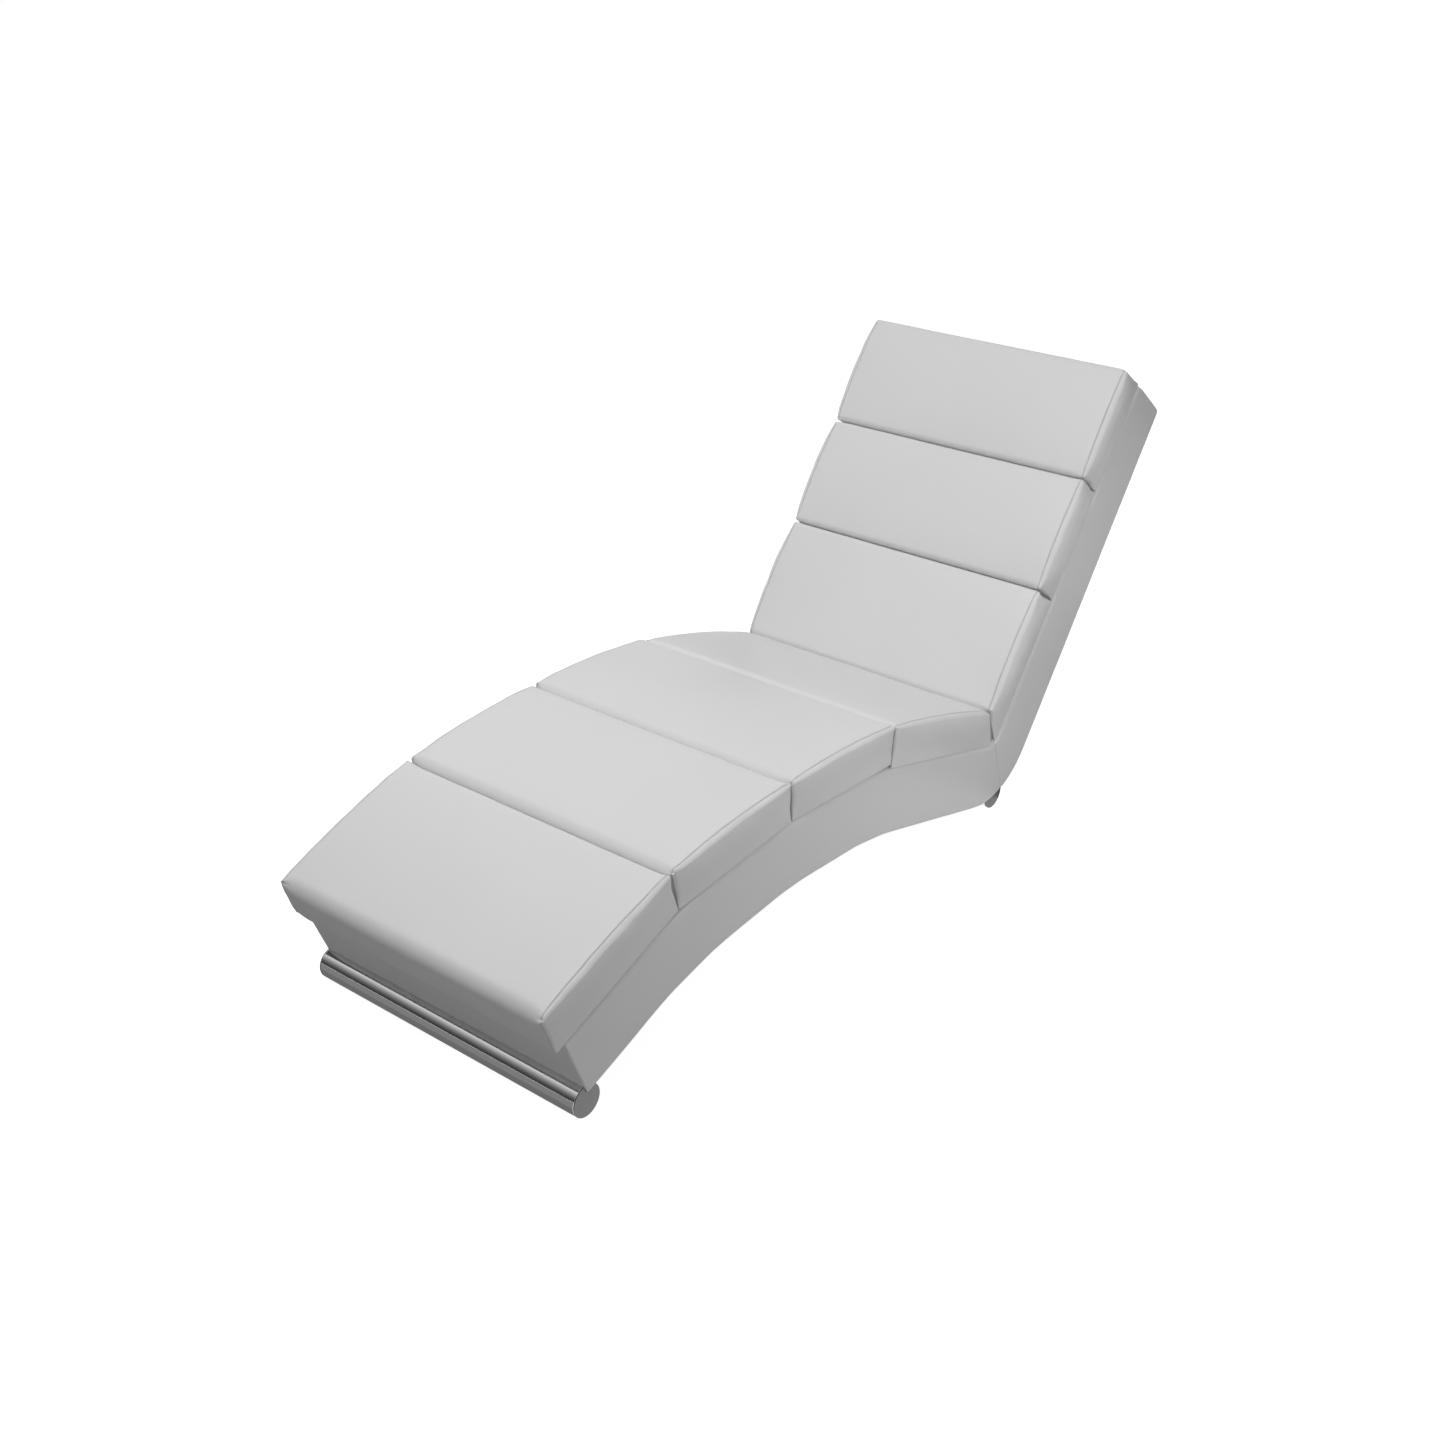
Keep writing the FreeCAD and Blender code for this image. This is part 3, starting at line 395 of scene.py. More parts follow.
def speckle(tree, place, per_metre, detail=2.0, twist=0.0):
    """Soft noise between 0 and 1."""
    return add(tree, "ShaderNodeTexNoise", {"Vector": place, "Scale": per_metre, "Detail": detail,
                                            "Distortion": twist}).outputs["Fac"]


def cells(tree, place, per_metre):
    """Distance from the middle of the nearest of many small cells."""
    return add(tree, "ShaderNodeTexVoronoi", {"Vector": place, "Scale": per_metre},
               feature="F1").outputs["Distance"]


def bumped(tree, height, strength, distance):
    return add(tree, "ShaderNodeBump", {"Height": height, "Strength": strength,
                                        "Distance": distance}).outputs["Normal"]


# Where most of the noise lies
NOISE_RANGE = (0.3, 0.7)

# Leatherette: marks to the metre, and how high they stand
PEBBLES, PEBBLE_HEIGHT = 620.0, 0.00010
PORES, PORE_HEIGHT = 1500.0, 0.00004
MOTTLES, MOTTLE_HEIGHT = 120.0, 0.00022
CREASES, CREASE_HEIGHT = 38.0, 0.0006
CLOUDS, CLOUD_TINT = 5.0, 0.015
LEATHER_POLISH = (0.40, 0.50)
LEATHER_SHINE = 0.4
LEATHER_BUMP = 0.6

# Its seam: a thread in the middle of a crease darkened with painted shade, in metres and shares
THREAD_HALF, CREASE_HALF = 0.0004, 0.0018
CREASE_PAINTED_SHADE, CREASE_SHADE, CREASE_DROP = 0.6, 0.5, 0.0006
STITCH_LENGTH, STITCH_SHARE, STITCH_RISE = 0.0045, 0.7, 0.0003


def leatherette(seamed):
    """Smooth white faux leather with a fine grain and, on the pads, a sewn seam."""
    material, tree = new_material("white leatherette, sewn" if seamed else "white leatherette")
    if tree is None:
        return material
    colour, place = colours().leatherette, own_place(tree)
    clouds = speckle(tree, place, CLOUDS)
    tint = blend_colours(tree, clouds, shade(colour, 1 - CLOUD_TINT), shade(colour, 1 + CLOUD_TINT))
    height = math(tree, "MULTIPLY", cells(tree, place, PEBBLES), PEBBLE_HEIGHT)
    for marks, rise, detail in ((PORES, PORE_HEIGHT, 2.0), (MOTTLES, MOTTLE_HEIGHT, 2.0),
                                (CREASES, CREASE_HEIGHT, 3.0)):
        height = math(tree, "ADD", height,
                      math(tree, "MULTIPLY", speckle(tree, place, marks, detail), rise))
    if seamed:
        tint, height = sewn_seam(tree, tint, height)
    dress(tree, {"Base Color": tint, "Specular IOR Level": LEATHER_SHINE,
                 "Roughness": remap(tree, clouds, *NOISE_RANGE, *LEATHER_POLISH),
                 "Normal": bumped(tree, height, LEATHER_BUMP, 1.0)})
    return material


def sewn_seam(tree, tint, height):
    """Adds a seam's crease and stitches to a colour and a height; along the crease the colour is darkened as
    painted shade.
    """
    away = math(tree, "ABSOLUTE", own_value(tree, "seam_away"))
    stitches = math(tree, "DIVIDE", own_value(tree, "seam_run"), STITCH_LENGTH)
    crease = remap(tree, away, THREAD_HALF, CREASE_HALF, 1.0, 0.0)
    stitch = math(tree, "MULTIPLY", math(tree, "LESS_THAN", away, THREAD_HALF),
                  math(tree, "LESS_THAN", math(tree, "FRACT", stitches), STITCH_SHARE))
    # Painted shade: the leatherette's colour is darkened towards the middle of the seam's crease
    tint = blend_colours(tree, math(tree, "MULTIPLY", crease, CREASE_PAINTED_SHADE), tint,
                         shade(colours().leatherette, CREASE_SHADE))
    tint = blend_colours(tree, stitch, tint, shade(colours().thread, 1.0))
    height = math(tree, "SUBTRACT", height, math(tree, "MULTIPLY", crease, CREASE_DROP))
    return tint, math(tree, "ADD", height, math(tree, "MULTIPLY", stitch, STITCH_RISE))


SMUDGES, SMUDGE_TINT = 18.0, 0.03
SCRATCHES, SCRATCH_DEPTH = 900.0, 0.0002


def metal(name, colour, polish, scratch):
    """A plated metal whose roughness varies a little between two values."""
    material, tree = new_material(name)
    if tree is None:
        return material
    place = own_place(tree)
    smudge = speckle(tree, place, SMUDGES, 3.0)
    fine = speckle(tree, place, SCRATCHES, 1.0)
    dress(tree, {"Base Color": blend_colours(tree, smudge, shade(colour, 1 - SMUDGE_TINT),
                                             shade(colour, 1 + SMUDGE_TINT)),
                 "Metallic": 1.0, "Roughness": remap(tree, smudge, *NOISE_RANGE, *polish),
                 "Normal": bumped(tree, fine, scratch, SCRATCH_DEPTH)})
    return material


RINGS, RING_TWIST = 30.0, 0.6
FLECKS, FLECK_HEIGHT, FLECK_BUMP = 240.0, 0.0004, 0.4
BOARD_ROUGHNESS = 0.6


def board(name, colour, stretch, contrast):
    """Wood or pressed board with grain drawn out along the length."""
    material, tree = new_material(name)
    if tree is None:
        return material
    place = add(tree, "ShaderNodeMapping", {"Vector": own_place(tree), "Scale": stretch}).outputs["Vector"]
    rings = speckle(tree, place, RINGS, 5.0, RING_TWIST)
    dress(tree, {"Base Color": blend_colours(tree, rings, shade(colour, 1 - contrast),
                                             shade(colour, 1 + contrast)),
                 "Roughness": BOARD_ROUGHNESS,
                 "Normal": bumped(tree, speckle(tree, place, FLECKS), FLECK_BUMP, FLECK_HEIGHT)})
    return material


CLOTH_FIBRES, FIBRE_SHADES = 700.0, (0.7, 1.6)
CLOTH_DOTS, DOT_HEIGHT, DOT_BUMP = 400.0, 0.0005, 0.5
CLOTH_ROUGHNESS = 0.9


def dust_cloth():
    """Thin black non-woven cloth with pressed dots."""
    material, tree = new_material("black dust cloth")
    if tree is None:
        return material
    place = own_place(tree)
    thin, thick = (shade(colours().dust_cloth, factor) for factor in FIBRE_SHADES)
    dress(tree, {"Base Color": blend_colours(tree, speckle(tree, place, CLOTH_FIBRES, 4.0), thin, thick),
                 "Roughness": CLOTH_ROUGHNESS,
                 "Normal": bumped(tree, cells(tree, place, CLOTH_DOTS), DOT_BUMP, DOT_HEIGHT)})
    return material


# The seven pads

class Pad:
    """One pad's place on the deck, its size and how far its long sides lean to the neighbours."""

    def __init__(self, name, facet, start, length, leans, radii, seed, skirts=(0.0, 0.0),
                 rises=(0.0, 0.0)):
        self.name, self.facet, self.start, self.length = name, facet, start, length
        self.lean_front, self.lean_rear = (tan(lean) for lean in leans)
        self.front_radius, self.rear_radius = radii
        self.seed = seed
        self.skirt_front, self.skirt_rear = skirts
        self.rise_front, self.rise_rear = rises
        self.end_puff = pad_sizes().back_puff if facet == "back" else pad_sizes().end_puff


def all_pads():
    pads, sizes = pad_sizes(), frame_sizes()
    half = pads.clearance / 2
    shin, knee, lap = ((facet_slope(before) - facet_slope(after)) / 2
                       for before, after in zip(FACETS[:3], FACETS[1:4]))
    seat_radii, back_radii = (pads.edge_radius, pads.edge_radius), (pads.back_radius, pads.back_radius)
    rise, none = pads.seat_rise, (0.0, 0.0)
    padded_back = sizes.back_length + pads.head_overhang
    shoulder_start = pads.lumbar_start + pads.lumbar_length + pads.gap
    head_start = shoulder_start + pads.shoulder_length + pads.gap
    return (
        Pad("foot_pad", "foot", -pads.foot_overhang, sizes.foot_length + pads.foot_overhang - half,
            (0.0, shin), (pads.front_roll, pads.edge_radius), 1, none, (pads.foot_rise, rise)),
        Pad("calf_pad", "calf", half, sizes.calf_length - 2 * half, (shin, knee), seat_radii, 2, none,
            (rise, rise)),
        Pad("thigh_pad", "thigh", half, sizes.thigh_length + pads.thigh_overhang - half, (knee, lap),
            seat_radii, 3, none, (rise, rise)),
        Pad("seat_pad", "seat", pads.thigh_overhang + pads.clearance,
            sizes.seat_length - pads.thigh_overhang - pads.clearance - pads.seat_stop, (lap, 0.0),
            seat_radii, 4, (0.0, pads.seat_skirt), (pads.lap_rise, 0.0)),
        Pad("lumbar_pad", "back", pads.lumbar_start, pads.lumbar_length, none, back_radii, 5,
            (pads.lumbar_skirt, 0.0)),
        Pad("shoulder_pad", "back", shoulder_start, pads.shoulder_length, none, back_radii, 6),
        Pad("head_pad", "back", head_start, padded_back - head_start, none, back_radii, 7),
    )


# Steps of the pads' meshes
EDGE_PARTS = 6
LENGTH_STEP = 0.011
WIDTH_STEP = 0.012
HEIGHT_STEP = 0.008
SEAM_STEPS = (-1.0, -0.5, 0.0, 0.5, 1.0, 2.0, 4.0, 7.0, 10.5, 14.5, 19.0)

# Beside its board a pad keeps only this share of its end radius, so that the board stays covered
BASE_CORNER, BOARD_HEIGHT = 0.2, 0.020

# Powers that set how squarely a pad's filling reaches its edges
BELLY_POWER, CROWN_POWER, RISE_POWER = 2.2, 3, 2
SIDE_POWER, LEAN_POWER = 6, 3
PUFF_HEIGHT_POWER, PUFF_POWER, PUFF_LENGTH_POWER = 1.35, 0.8, 4
HEM_SHARE = 1 / 6

# Wrinkles: folds to the metre, and how strong they are beside the others
TOP_FOLDS, SEAM_FOLDS, END_FOLDS = 9.0, 70.0, 38.0
END_FOLD_DEPTH, END_UNEVENNESS = 1.5, 0.6
PUCKER_REACH = 0.022
CORNER_PUCKER, CORNER_POWER = 3.5, 8

ON_PLANE = 1e-6


def edge_stations(radius):
    """Distances from an edge that give even steps round its quarter turn."""
    return [radius * (1 - tan(pi / 4 * step / EDGE_PARTS)) for step in range(EDGE_PARTS)]


def even_stations(low, high, step):
    count = max(1, ceil((high - low) / step))
    return [low + (high - low) * index / count for index in range(1, count)]


def pad_half():
    return frame_sizes().half_width - pad_sizes().inset


def pad_block(bm, pad):
    """A box of the pad's size, cut across at every place where its form changes."""
    pads = pad_sizes()
    half = pad_half()
    bmesh.ops.create_cube(bm, size=1.0)
    bmesh.ops.scale(bm, vec=(2 * half, pad.length, pads.thickness), verts=bm.verts[:])
    bmesh.ops.translate(bm, vec=(0, pad.length / 2, pads.thickness / 2), verts=bm.verts[:])
    front, rear = edge_stations(pad.front_radius), edge_stations(pad.rear_radius)
    lengths = front + [pad.length - spot for spot in rear]
    lengths += even_stations(pad.front_radius, pad.length - pad.rear_radius, LENGTH_STEP)
    widths = [half - pads.seam_inset - pads.seam_width * step for step in SEAM_STEPS]
    widths += [-spot for spot in widths] + even_stations(-widths[-1], widths[-1], WIDTH_STEP) + [0.0]
    heights = [pads.base_radius / 2, pads.base_radius]
    heights += [pads.thickness - spot for spot in front + rear]
    heights += even_stations(pads.base_radius, pads.thickness - pad.front_radius, HEIGHT_STEP)
    for axis, stations in ((0, widths), (1, lengths), (2, heights)):
        square = Vector([1.0 if index == axis else 0.0 for index in range(3)])
        for spot in sorted(set(round(station, 5) for station in stations)):
            bmesh.ops.bisect_plane(bm, geom=bm.verts[:] + bm.edges[:] + bm.faces[:], dist=ON_PLANE,
                                   plane_co=square * spot, plane_no=square)


def round_corner(first, second, radius):
    """Moves a point of a square corner, measured inwards from its two sides, onto concentric arcs."""
    if first >= radius or second >= radius:
        return first, second
    a, b = (radius - first) / radius, (radius - second) / radius
    reach = max(a, b) / hypot(a, b)
    return radius * (1 - a * reach), radius * (1 - b * reach)


def squeeze(distance, radius, smaller, span):
    """Draws the stations of one edge radius together for a smaller one, up to the middle of the pad."""
    if distance < radius:
        return distance * smaller / radius
    return smaller + (distance - radius) * (span - smaller) / (span - radius)


Spot = namedtuple("Spot", "x u w side on_end shoulder inward away run")


def sewn_spot(pad, point):
    """Where a point of the pad's box lies on the cover as sewn, in the pad's own frame."""
    pads = pad_sizes()
    half = pad_half()
    thick, length = pads.thickness, pad.length
    x, u, w = point
    end = pads.end_radius * (BASE_CORNER + (1 - BASE_CORNER) * min(1.0, w / BOARD_HEIGHT))
    side = 1.0 if x >= 0 else -1.0
    from_end = half - abs(x)
    on_end = from_end < ON_PLANE
    depths = {"front": u, "rear": length - u, "top": thick - w, "base": w}
    nearest = min(depths, key=depths.get)
    run = {"front": w, "top": thick + u, "rear": thick + length + thick - w, "base": 0.0}[nearest]
    shoulder = max(0.0, 1 - from_end / pads.shoulder) ** 2

    radii = {name: radius + (pads.sewn_radius - radius) * shoulder
             for name, radius in (("front", pad.front_radius), ("rear", pad.rear_radius))}
    if u < length / 2:
        u = squeeze(u, pad.front_radius, radii["front"], length / 2)
    else:
        u = length - squeeze(length - u, pad.rear_radius, radii["rear"], length / 2)
    if nearest in ("front", "rear", "top"):
        near = "front" if u < length / 2 else "rear"
        full = pad.front_radius if near == "front" else pad.rear_radius
        w = thick - squeeze(thick - w, full, radii[near], thick)
    inside = min(u, length - u, thick - w)
    away = -pads.seam_inset - inside if on_end else from_end - pads.seam_inset

    front, top = round_corner(u, thick - w, radii["front"])
    u, w = front, thick - top
    rear, top = round_corner(length - u, thick - w, radii["rear"])
    u, w = length - rear, thick - top
    front, base = round_corner(u, w, pads.base_radius)
    u, w = front, base
    rear, base = round_corner(length - u, w, pads.base_radius)
    u, w = length - rear, base

    inward = pad_inward(pad, u, w, nearest, radii)
    if on_end:
        turn = pi / 4 * (1 + min(inside / end, 1.0))
    else:
        turn = pi / 4 * (1 - min(from_end / end, 1.0))
    if on_end or (from_end < end and nearest != "base"):
        x = side * (half - end + end * sin(turn))
        shift = end * (1 - cos(turn)) - (min(inside, end) if on_end else 0.0)
        u, w = u + inward[0] * shift, w + inward[1] * shift

    if not on_end and nearest != "base" and abs(away) < pads.seam_width:
        crease = pads.seam_depth * (1 - (away / pads.seam_width) ** 2)
        u, w = u + inward[0] * crease, w + inward[1] * crease

    return Spot(x, u, w, side, on_end, shoulder, inward, away, run)


def filled_point(pad, spot):
    """Where a spot of the sewn cover ends up, crowned, leaning, puffed and wrinkled by the filling."""
    pads = pad_sizes()
    x, u, w, side, on_end, shoulder, inward, away, run = spot
    share = abs(x) / pad_half()
    drawn = pads.draw_in * shoulder
    across = (u - pad.length / 2) / (pad.length / 2)
    up = max(0.0, w / pads.thickness)
    level = min(1.0, up)

    belly = max(0.0, 1 - abs(across) ** BELLY_POWER)
    crown = pads.end_crown + (pads.crown - pads.end_crown) * (1 - share ** CROWN_POWER)
    rise = pad.rise_front + (pad.rise_rear - pad.rise_front) * (across + 1) / 2
    hem = pads.hem * max(0.0, 1 - up / HEM_SHARE)
    w += crown * belly * up ** RISE_POWER + (rise - drawn) * up - hem
    u -= drawn * across * up
    outward = abs(across) ** SIDE_POWER * sin(pi * level) * (1 - shoulder)
    u += pads.side_puff * outward * (1 if across > 0 else -1)
    lean, skirt = (pad.lean_rear, pad.skirt_rear) if across > 0 else (pad.lean_front, pad.skirt_front)
    u += (lean * w + skirt * (1 - level)) * across ** LEAN_POWER

    if on_end:
        swell = sin(pi * level ** PUFF_HEIGHT_POWER) ** PUFF_POWER
        x += side * pad.end_puff * swell * max(0.0, 1 - across ** PUFF_LENGTH_POWER)
        fold = ripple((0.4 * x, u + 0.6 * w, 0.5 * w), END_FOLDS, pad.seed + 0.5)
        x += side * pads.pucker * END_FOLD_DEPTH * fold * up
    soft = up * (END_UNEVENNESS if on_end else 1.0)
    w += soft * pads.unevenness * ripple((x, u, w), TOP_FOLDS, pad.seed)
    near_seam = max(0.0, 1 - abs(away) / PUCKER_REACH)
    near_seam *= 1 + CORNER_PUCKER * shoulder * abs(across) ** CORNER_POWER
    pucker = pads.pucker * near_seam * ripple((x * 0.3, run, 0.0), SEAM_FOLDS, pad.seed)
    return Vector((x, u + inward[0] * pucker, w + inward[1] * pucker))


def pad_inward(pad, u, w, nearest, radii):
    """Direction from the pad's outline to its inside, in the plane of its section."""
    top = pad_sizes().thickness - w
    for from_side, radius, sign in ((u, radii["front"], 1), (pad.length - u, radii["rear"], -1)):
        if from_side < radius and top < radius:
            a, b = radius - from_side, radius - top
            reach = hypot(a, b) or 1.0
            return sign * a / reach, -b / reach
    return {"front": (1, 0), "rear": (-1, 0), "top": (0, -1), "base": (0, 1)}[nearest]


def make_pad(pad):
    bm = bmesh.new()
    pad_block(bm, pad)
    away_layer = bm.verts.layers.float.new("seam_away")
    run_layer = bm.verts.layers.float.new("seam_run")
    for vert in bm.verts:
        spot = sewn_spot(pad, vert.co.copy())
        vert.co, vert[away_layer], vert[run_layer] = filled_point(pad, spot), spot.away, spot.run
    turn = Matrix.Rotation(facet_slope(pad.facet), 3, "X")
    bmesh.ops.rotate(bm, cent=(0, 0, 0), matrix=turn, verts=bm.verts[:])
    bmesh.ops.translate(bm, vec=on_facet(pad.facet, pad.start), verts=bm.verts[:])
    bmesh.ops.recalc_face_normals(bm, faces=bm.faces[:])
    piece = finish_piece(bm, f"{pad.name}_upholstery", leatherette(True),
                         (f"{pad.name}_cover", f"{pad.name}_foam"))


class CHAISE_OT_pads(bpy.types.Operator):
    """Make the seven sewn pads"""
    bl_idname = "chaise.pads"
    bl_label = "Pads"

    def execute(self, context):
        for pad in all_pads():
            make_pad(pad)
        return {"FINISHED"}


# Covers of the frame

COVER_WALL = 0.0015
SIDE_STEP, PANEL_STEP, SEAM_PARTS = 0.009, 0.014, 3
LIP_FOLD = 0.75
LOWER_ROLL, BACK_LIP = 0.005, 0.004

# How far from its ends a cover begins to swell, and its ripples: depth, and folds to the metre
SWELL_REACH = 0.05
SIDE_UNEVENNESS, SIDE_FOLDS = 0.0004, 14.0
PANEL_UNEVENNESS, PANEL_FOLDS = 0.0005, 12.0

# How far inside the side covers' faces the other covers end, in seam rolls
TOP_TUCK, APRON_TUCK = 0.6, 0.4
APRON_TOP, APRON_SHORTER = 0.001, 0.003


def finish_cover(bm, name, node):
    finish_piece(bm, name, leatherette(False), (node,), wall=COVER_WALL)


def side_section(facet, along, side, lower_roll, lower_lip):
    """Lip, rolled upper edge, side and rolled lower edge of a side cover, across the deck line."""
    sizes = frame_sizes()
    half, roll = sizes.half_width, sizes.edge_roll
    spots = [(half - sizes.lip, 0.0), (half - sizes.lip * LIP_FOLD, 0.0)]
    turns = [pi / 2 * step / EDGE_PARTS for step in range(EDGE_PARTS + 1)]
    spots += [(half - roll + roll * sin(turn), roll - roll * cos(turn)) for turn in turns]
    spots += [(half, spot) for spot in even_stations(roll, sizes.depth - lower_roll, SIDE_STEP)]
    spots += [(half - lower_roll + lower_roll * cos(turn), sizes.depth - lower_roll + lower_roll * sin(turn))
              for turn in turns[::2]]
    spots.append((half - lower_lip, sizes.depth))
    return [on_facet(facet, along, below, side * x) for x, below in spots]


def turned_to_mitre(points):
    """A section at the start of the hip's rounded corner, turned on to the mitre."""
    sizes = frame_sizes()
    turn = Matrix.Rotation((sizes.back_slope - sizes.seat_slope) / 2, 3, "X")
    centre = hip_centre()
    return [centre + turn @ (point - centre) for point in points]


def soften_cover(bm, layers, seed):
    """Rolls a cover in at its two ends and lets it swell and ripple a little."""
    sizes = frame_sizes()
    run_layer, place_layer, total, width = layers
    moves = []
    for vert in bm.verts:
        run, place = vert[run_layer], vert[place_layer]
        gaps = (run, total - run)
        rolled = sum(quarter(max(0.0, gap), sizes.seam_roll) for gap in gaps)
        swell = sizes.puff * sin(pi * place / width) * min(1.0, min(gaps) / SWELL_REACH)
        uneven = SIDE_UNEVENNESS * ripple(vert.co, SIDE_FOLDS, seed)
        moves.append((vert, vert.normal * (swell + uneven - rolled)))
    for vert, move in moves:
        vert.co += move


def gentle_underside(bm, run_layer, start=0.0):
    """Lowers a swept cover's lower edge on to the gentler bends of the underside."""
    sizes = frame_sizes()
    tight = sizes.bend_radius - sizes.depth
    bend = -start
    moves = []
    for before, after in zip(FACETS[:3], FACETS[1:4]):
        bend += facet_length(before)
        slope, half = facet_slope(before), (facet_slope(before) - facet_slope(after)) / 2
        y, z = facet_start(after)
        down = Vector((0, sin(slope - half), -cos(slope - half)))
        corner = Vector((0, y, z))
        for vert in bm.verts:
            away = abs(vert[run_layer] - bend)
            depth = (vert.co - corner).yz.dot(down.yz) / sizes.depth
            drop = sum(sign * max(0.0, radius * tan(half) - away) ** 2 / (2 * radius)
                       for sign, radius in ((1, sizes.under_radius), (-1, tight)))
            if drop > 0 and depth > 0:
                moves.append((vert, down * drop * min(1.0, depth) ** 2))
    for vert, move in moves:
        vert.co += move


def make_seat_cover(name, side, seed):
    sizes = frame_sizes()
    bm = bmesh.new()
    first = [("straight", sizes.foot_slope, sizes.seam_roll / SEAM_PARTS)] * SEAM_PARTS
    moves = seat_moves()
    kind, slope, length = moves[0]
    moves = first + [(kind, slope, length - sizes.seam_roll)] + moves[1:]
    layers = sweep(bm, side_section("foot", 0.0, side, LOWER_ROLL, sizes.lip), moves)
    gentle_underside(bm, layers[0])
    face_outwards(bm, Vector((side, 0, 0)))
    soften_cover(bm, layers, seed)
    finish_cover(bm, name, f"seat_cover_{name.split('_')[-1]}")


def make_back_cover(name, side, seed):
    sizes = frame_sizes()
    bm = bmesh.new()
    section = side_section("seat", sizes.seat_length - hip_tangent(), side, sizes.seam_roll, BACK_LIP)
    moves = back_moves()
    kind, slope, length = moves[1]
    end = sizes.top_radius
    reach = [end * sin(pi / 2 * step / EDGE_PARTS) for step in range(EDGE_PARTS + 1)]
    last = [(kind, slope, after - before) for before, after in zip(reach, reach[1:])]
    layers = sweep(bm, turned_to_mitre(section), [moves[0], (kind, slope, length - end)] + last)
    run_layer, _, total, _ = layers
    middle = on_facet("back", sizes.back_length, sizes.depth / 2)
    down = Vector((0, sin(sizes.back_slope), -cos(sizes.back_slope)))
    for vert in bm.verts:
        past = vert[run_layer] - (total - end)
        if past > ON_PLANE:
            lost = end - sqrt(max(0.0, end ** 2 - past ** 2))
            off = (vert.co - middle).dot(down)
            vert.co -= down * off * lost / (sizes.depth / 2)
    face_outwards(bm, Vector((side, 0, 0)))
    soften_cover(bm, layers, seed)
    finish_cover(bm, name, f"back_cover_{name.split('_')[-1]}")


def cross_section(point_at, half):
    """A straight chain from side to side, with short steps where it turns in at the side seams."""
    roll = frame_sizes().seam_roll
    near = [half - roll * part / SEAM_PARTS for part in range(SEAM_PARTS + 1)]
    spots = [-spot for spot in near] + even_stations(-near[-1], near[-1], PANEL_STEP) + near[::-1]
    return [point_at(spot) for spot in spots]


def soften_panel(bm, layers, half, ends, seed):
    """Rolls a cover in at its sides and at those of its ends that are sewn, and lets it swell and ripple."""
    sizes = frame_sizes()
    run_layer, _, total, _ = layers
    moves = []
    for vert in bm.verts:
        run = vert[run_layer]
        gaps = [half - abs(vert.co.x)] + [gap for gap, sewn in zip((run, total - run), ends) if sewn]
        rolled = quarter(max(0.0, min(gaps)), sizes.seam_roll)
        swell = sizes.puff * cos(pi / 2 * vert.co.x / half) * sin(pi * min(1.0, max(0.0, run / total)))
        uneven = PANEL_UNEVENNESS * ripple(vert.co, PANEL_FOLDS, seed)
        moves.append((vert, vert.normal * (swell + uneven - rolled)))
    for vert, move in moves:
        vert.co += move


def make_rear_cover():
    """The cover behind the back, from the mitre under the hip up to the top fold."""
    sizes = frame_sizes()
    half = sizes.half_width - sizes.seam_roll
    start = sizes.seat_length - hip_tangent()
    section = cross_section(lambda x: on_facet("seat", start, sizes.depth, x), half)
    bm = bmesh.new()
    moves = back_moves()
    kind, slope, length = moves[1]
    layers = sweep(bm, turned_to_mitre(section), [moves[0], (kind, slope, length - sizes.top_radius)])
    face_outwards(bm, Vector((0, 1, -0.3)))
    soften_panel(bm, layers, half, (True, False), 21)
    finish_cover(bm, "back_rear_skin", "back_rear_cover")


def make_top_cover():
    """The cover over the upper end of the back, between its two folds."""
    sizes = frame_sizes()
    half = sizes.half_width - sizes.seam_roll * TOP_TUCK
    fold, radius = sizes.back_length - sizes.top_radius, sizes.top_radius
    section = cross_section(lambda x: on_facet("back", fold, sizes.depth, x), half)
    bm = bmesh.new()
    moves = [("turn", on_facet("back", fold, sizes.depth - radius), pi / 2),
             ("straight", sizes.back_slope + pi / 2, sizes.depth - 2 * radius),
             ("turn", on_facet("back", fold, radius), pi / 2)]
    layers = sweep(bm, section, moves)
    face_outwards(bm, Vector((0, cos(sizes.back_slope), sin(sizes.back_slope))))
    soften_panel(bm, layers, half, (False, False), 22)
    finish_cover(bm, "back_top_skin", "back_top_cover")


def make_apron():
    """The cover across the foot end, sewn to the side covers at two crisp corners."""
    sizes = frame_sizes()
    half = sizes.half_width - sizes.seam_roll * APRON_TUCK
    section = cross_section(lambda x: on_facet("foot", 0.0, APRON_TOP, x), half)
    bm = bmesh.new()
    layers = sweep(bm, section, [("straight", sizes.foot_slope - pi / 2, sizes.depth - APRON_SHORTER)])
    face_outwards(bm, Vector((0, -1, 0)))
    soften_panel(bm, layers, half, (True, True), 23)
    finish_cover(bm, "foot_apron_skin", "foot_apron_cover")


class CHAISE_OT_seat_covers(bpy.types.Operator):
    """Make the two side covers of the seat frame and its foot apron"""
    bl_idname = "chaise.seat_covers"
    bl_label = "Seat covers"

    def execute(self, context):
        make_seat_cover("seat_skin_right", 1, 11)
        make_seat_cover("seat_skin_left", -1, 12)
        make_apron()
        return {"FINISHED"}


class CHAISE_OT_back_covers(bpy.types.Operator):
    """Make the side, top and rear covers of the back"""
    bl_idname = "chaise.back_covers"
    bl_label = "Back covers"

    def execute(self, context):
        make_back_cover("back_skin_right", 1, 13)
        make_back_cover("back_skin_left", -1, 14)
        make_top_cover()
        make_rear_cover()
        return {"FINISHED"}


# The cloth's edges, behind the apron, under the hip and above the underside, and its small waves
CLOTH_START, CLOTH_TURN, CLOTH_LIFT = 0.031, radians(11.0), 0.0025
CLOTH_STEP, CLOTH_WALL = 0.02, 0.0008
CLOTH_UNEVENNESS, CLOTH_FOLDS = 0.0006, 10.0


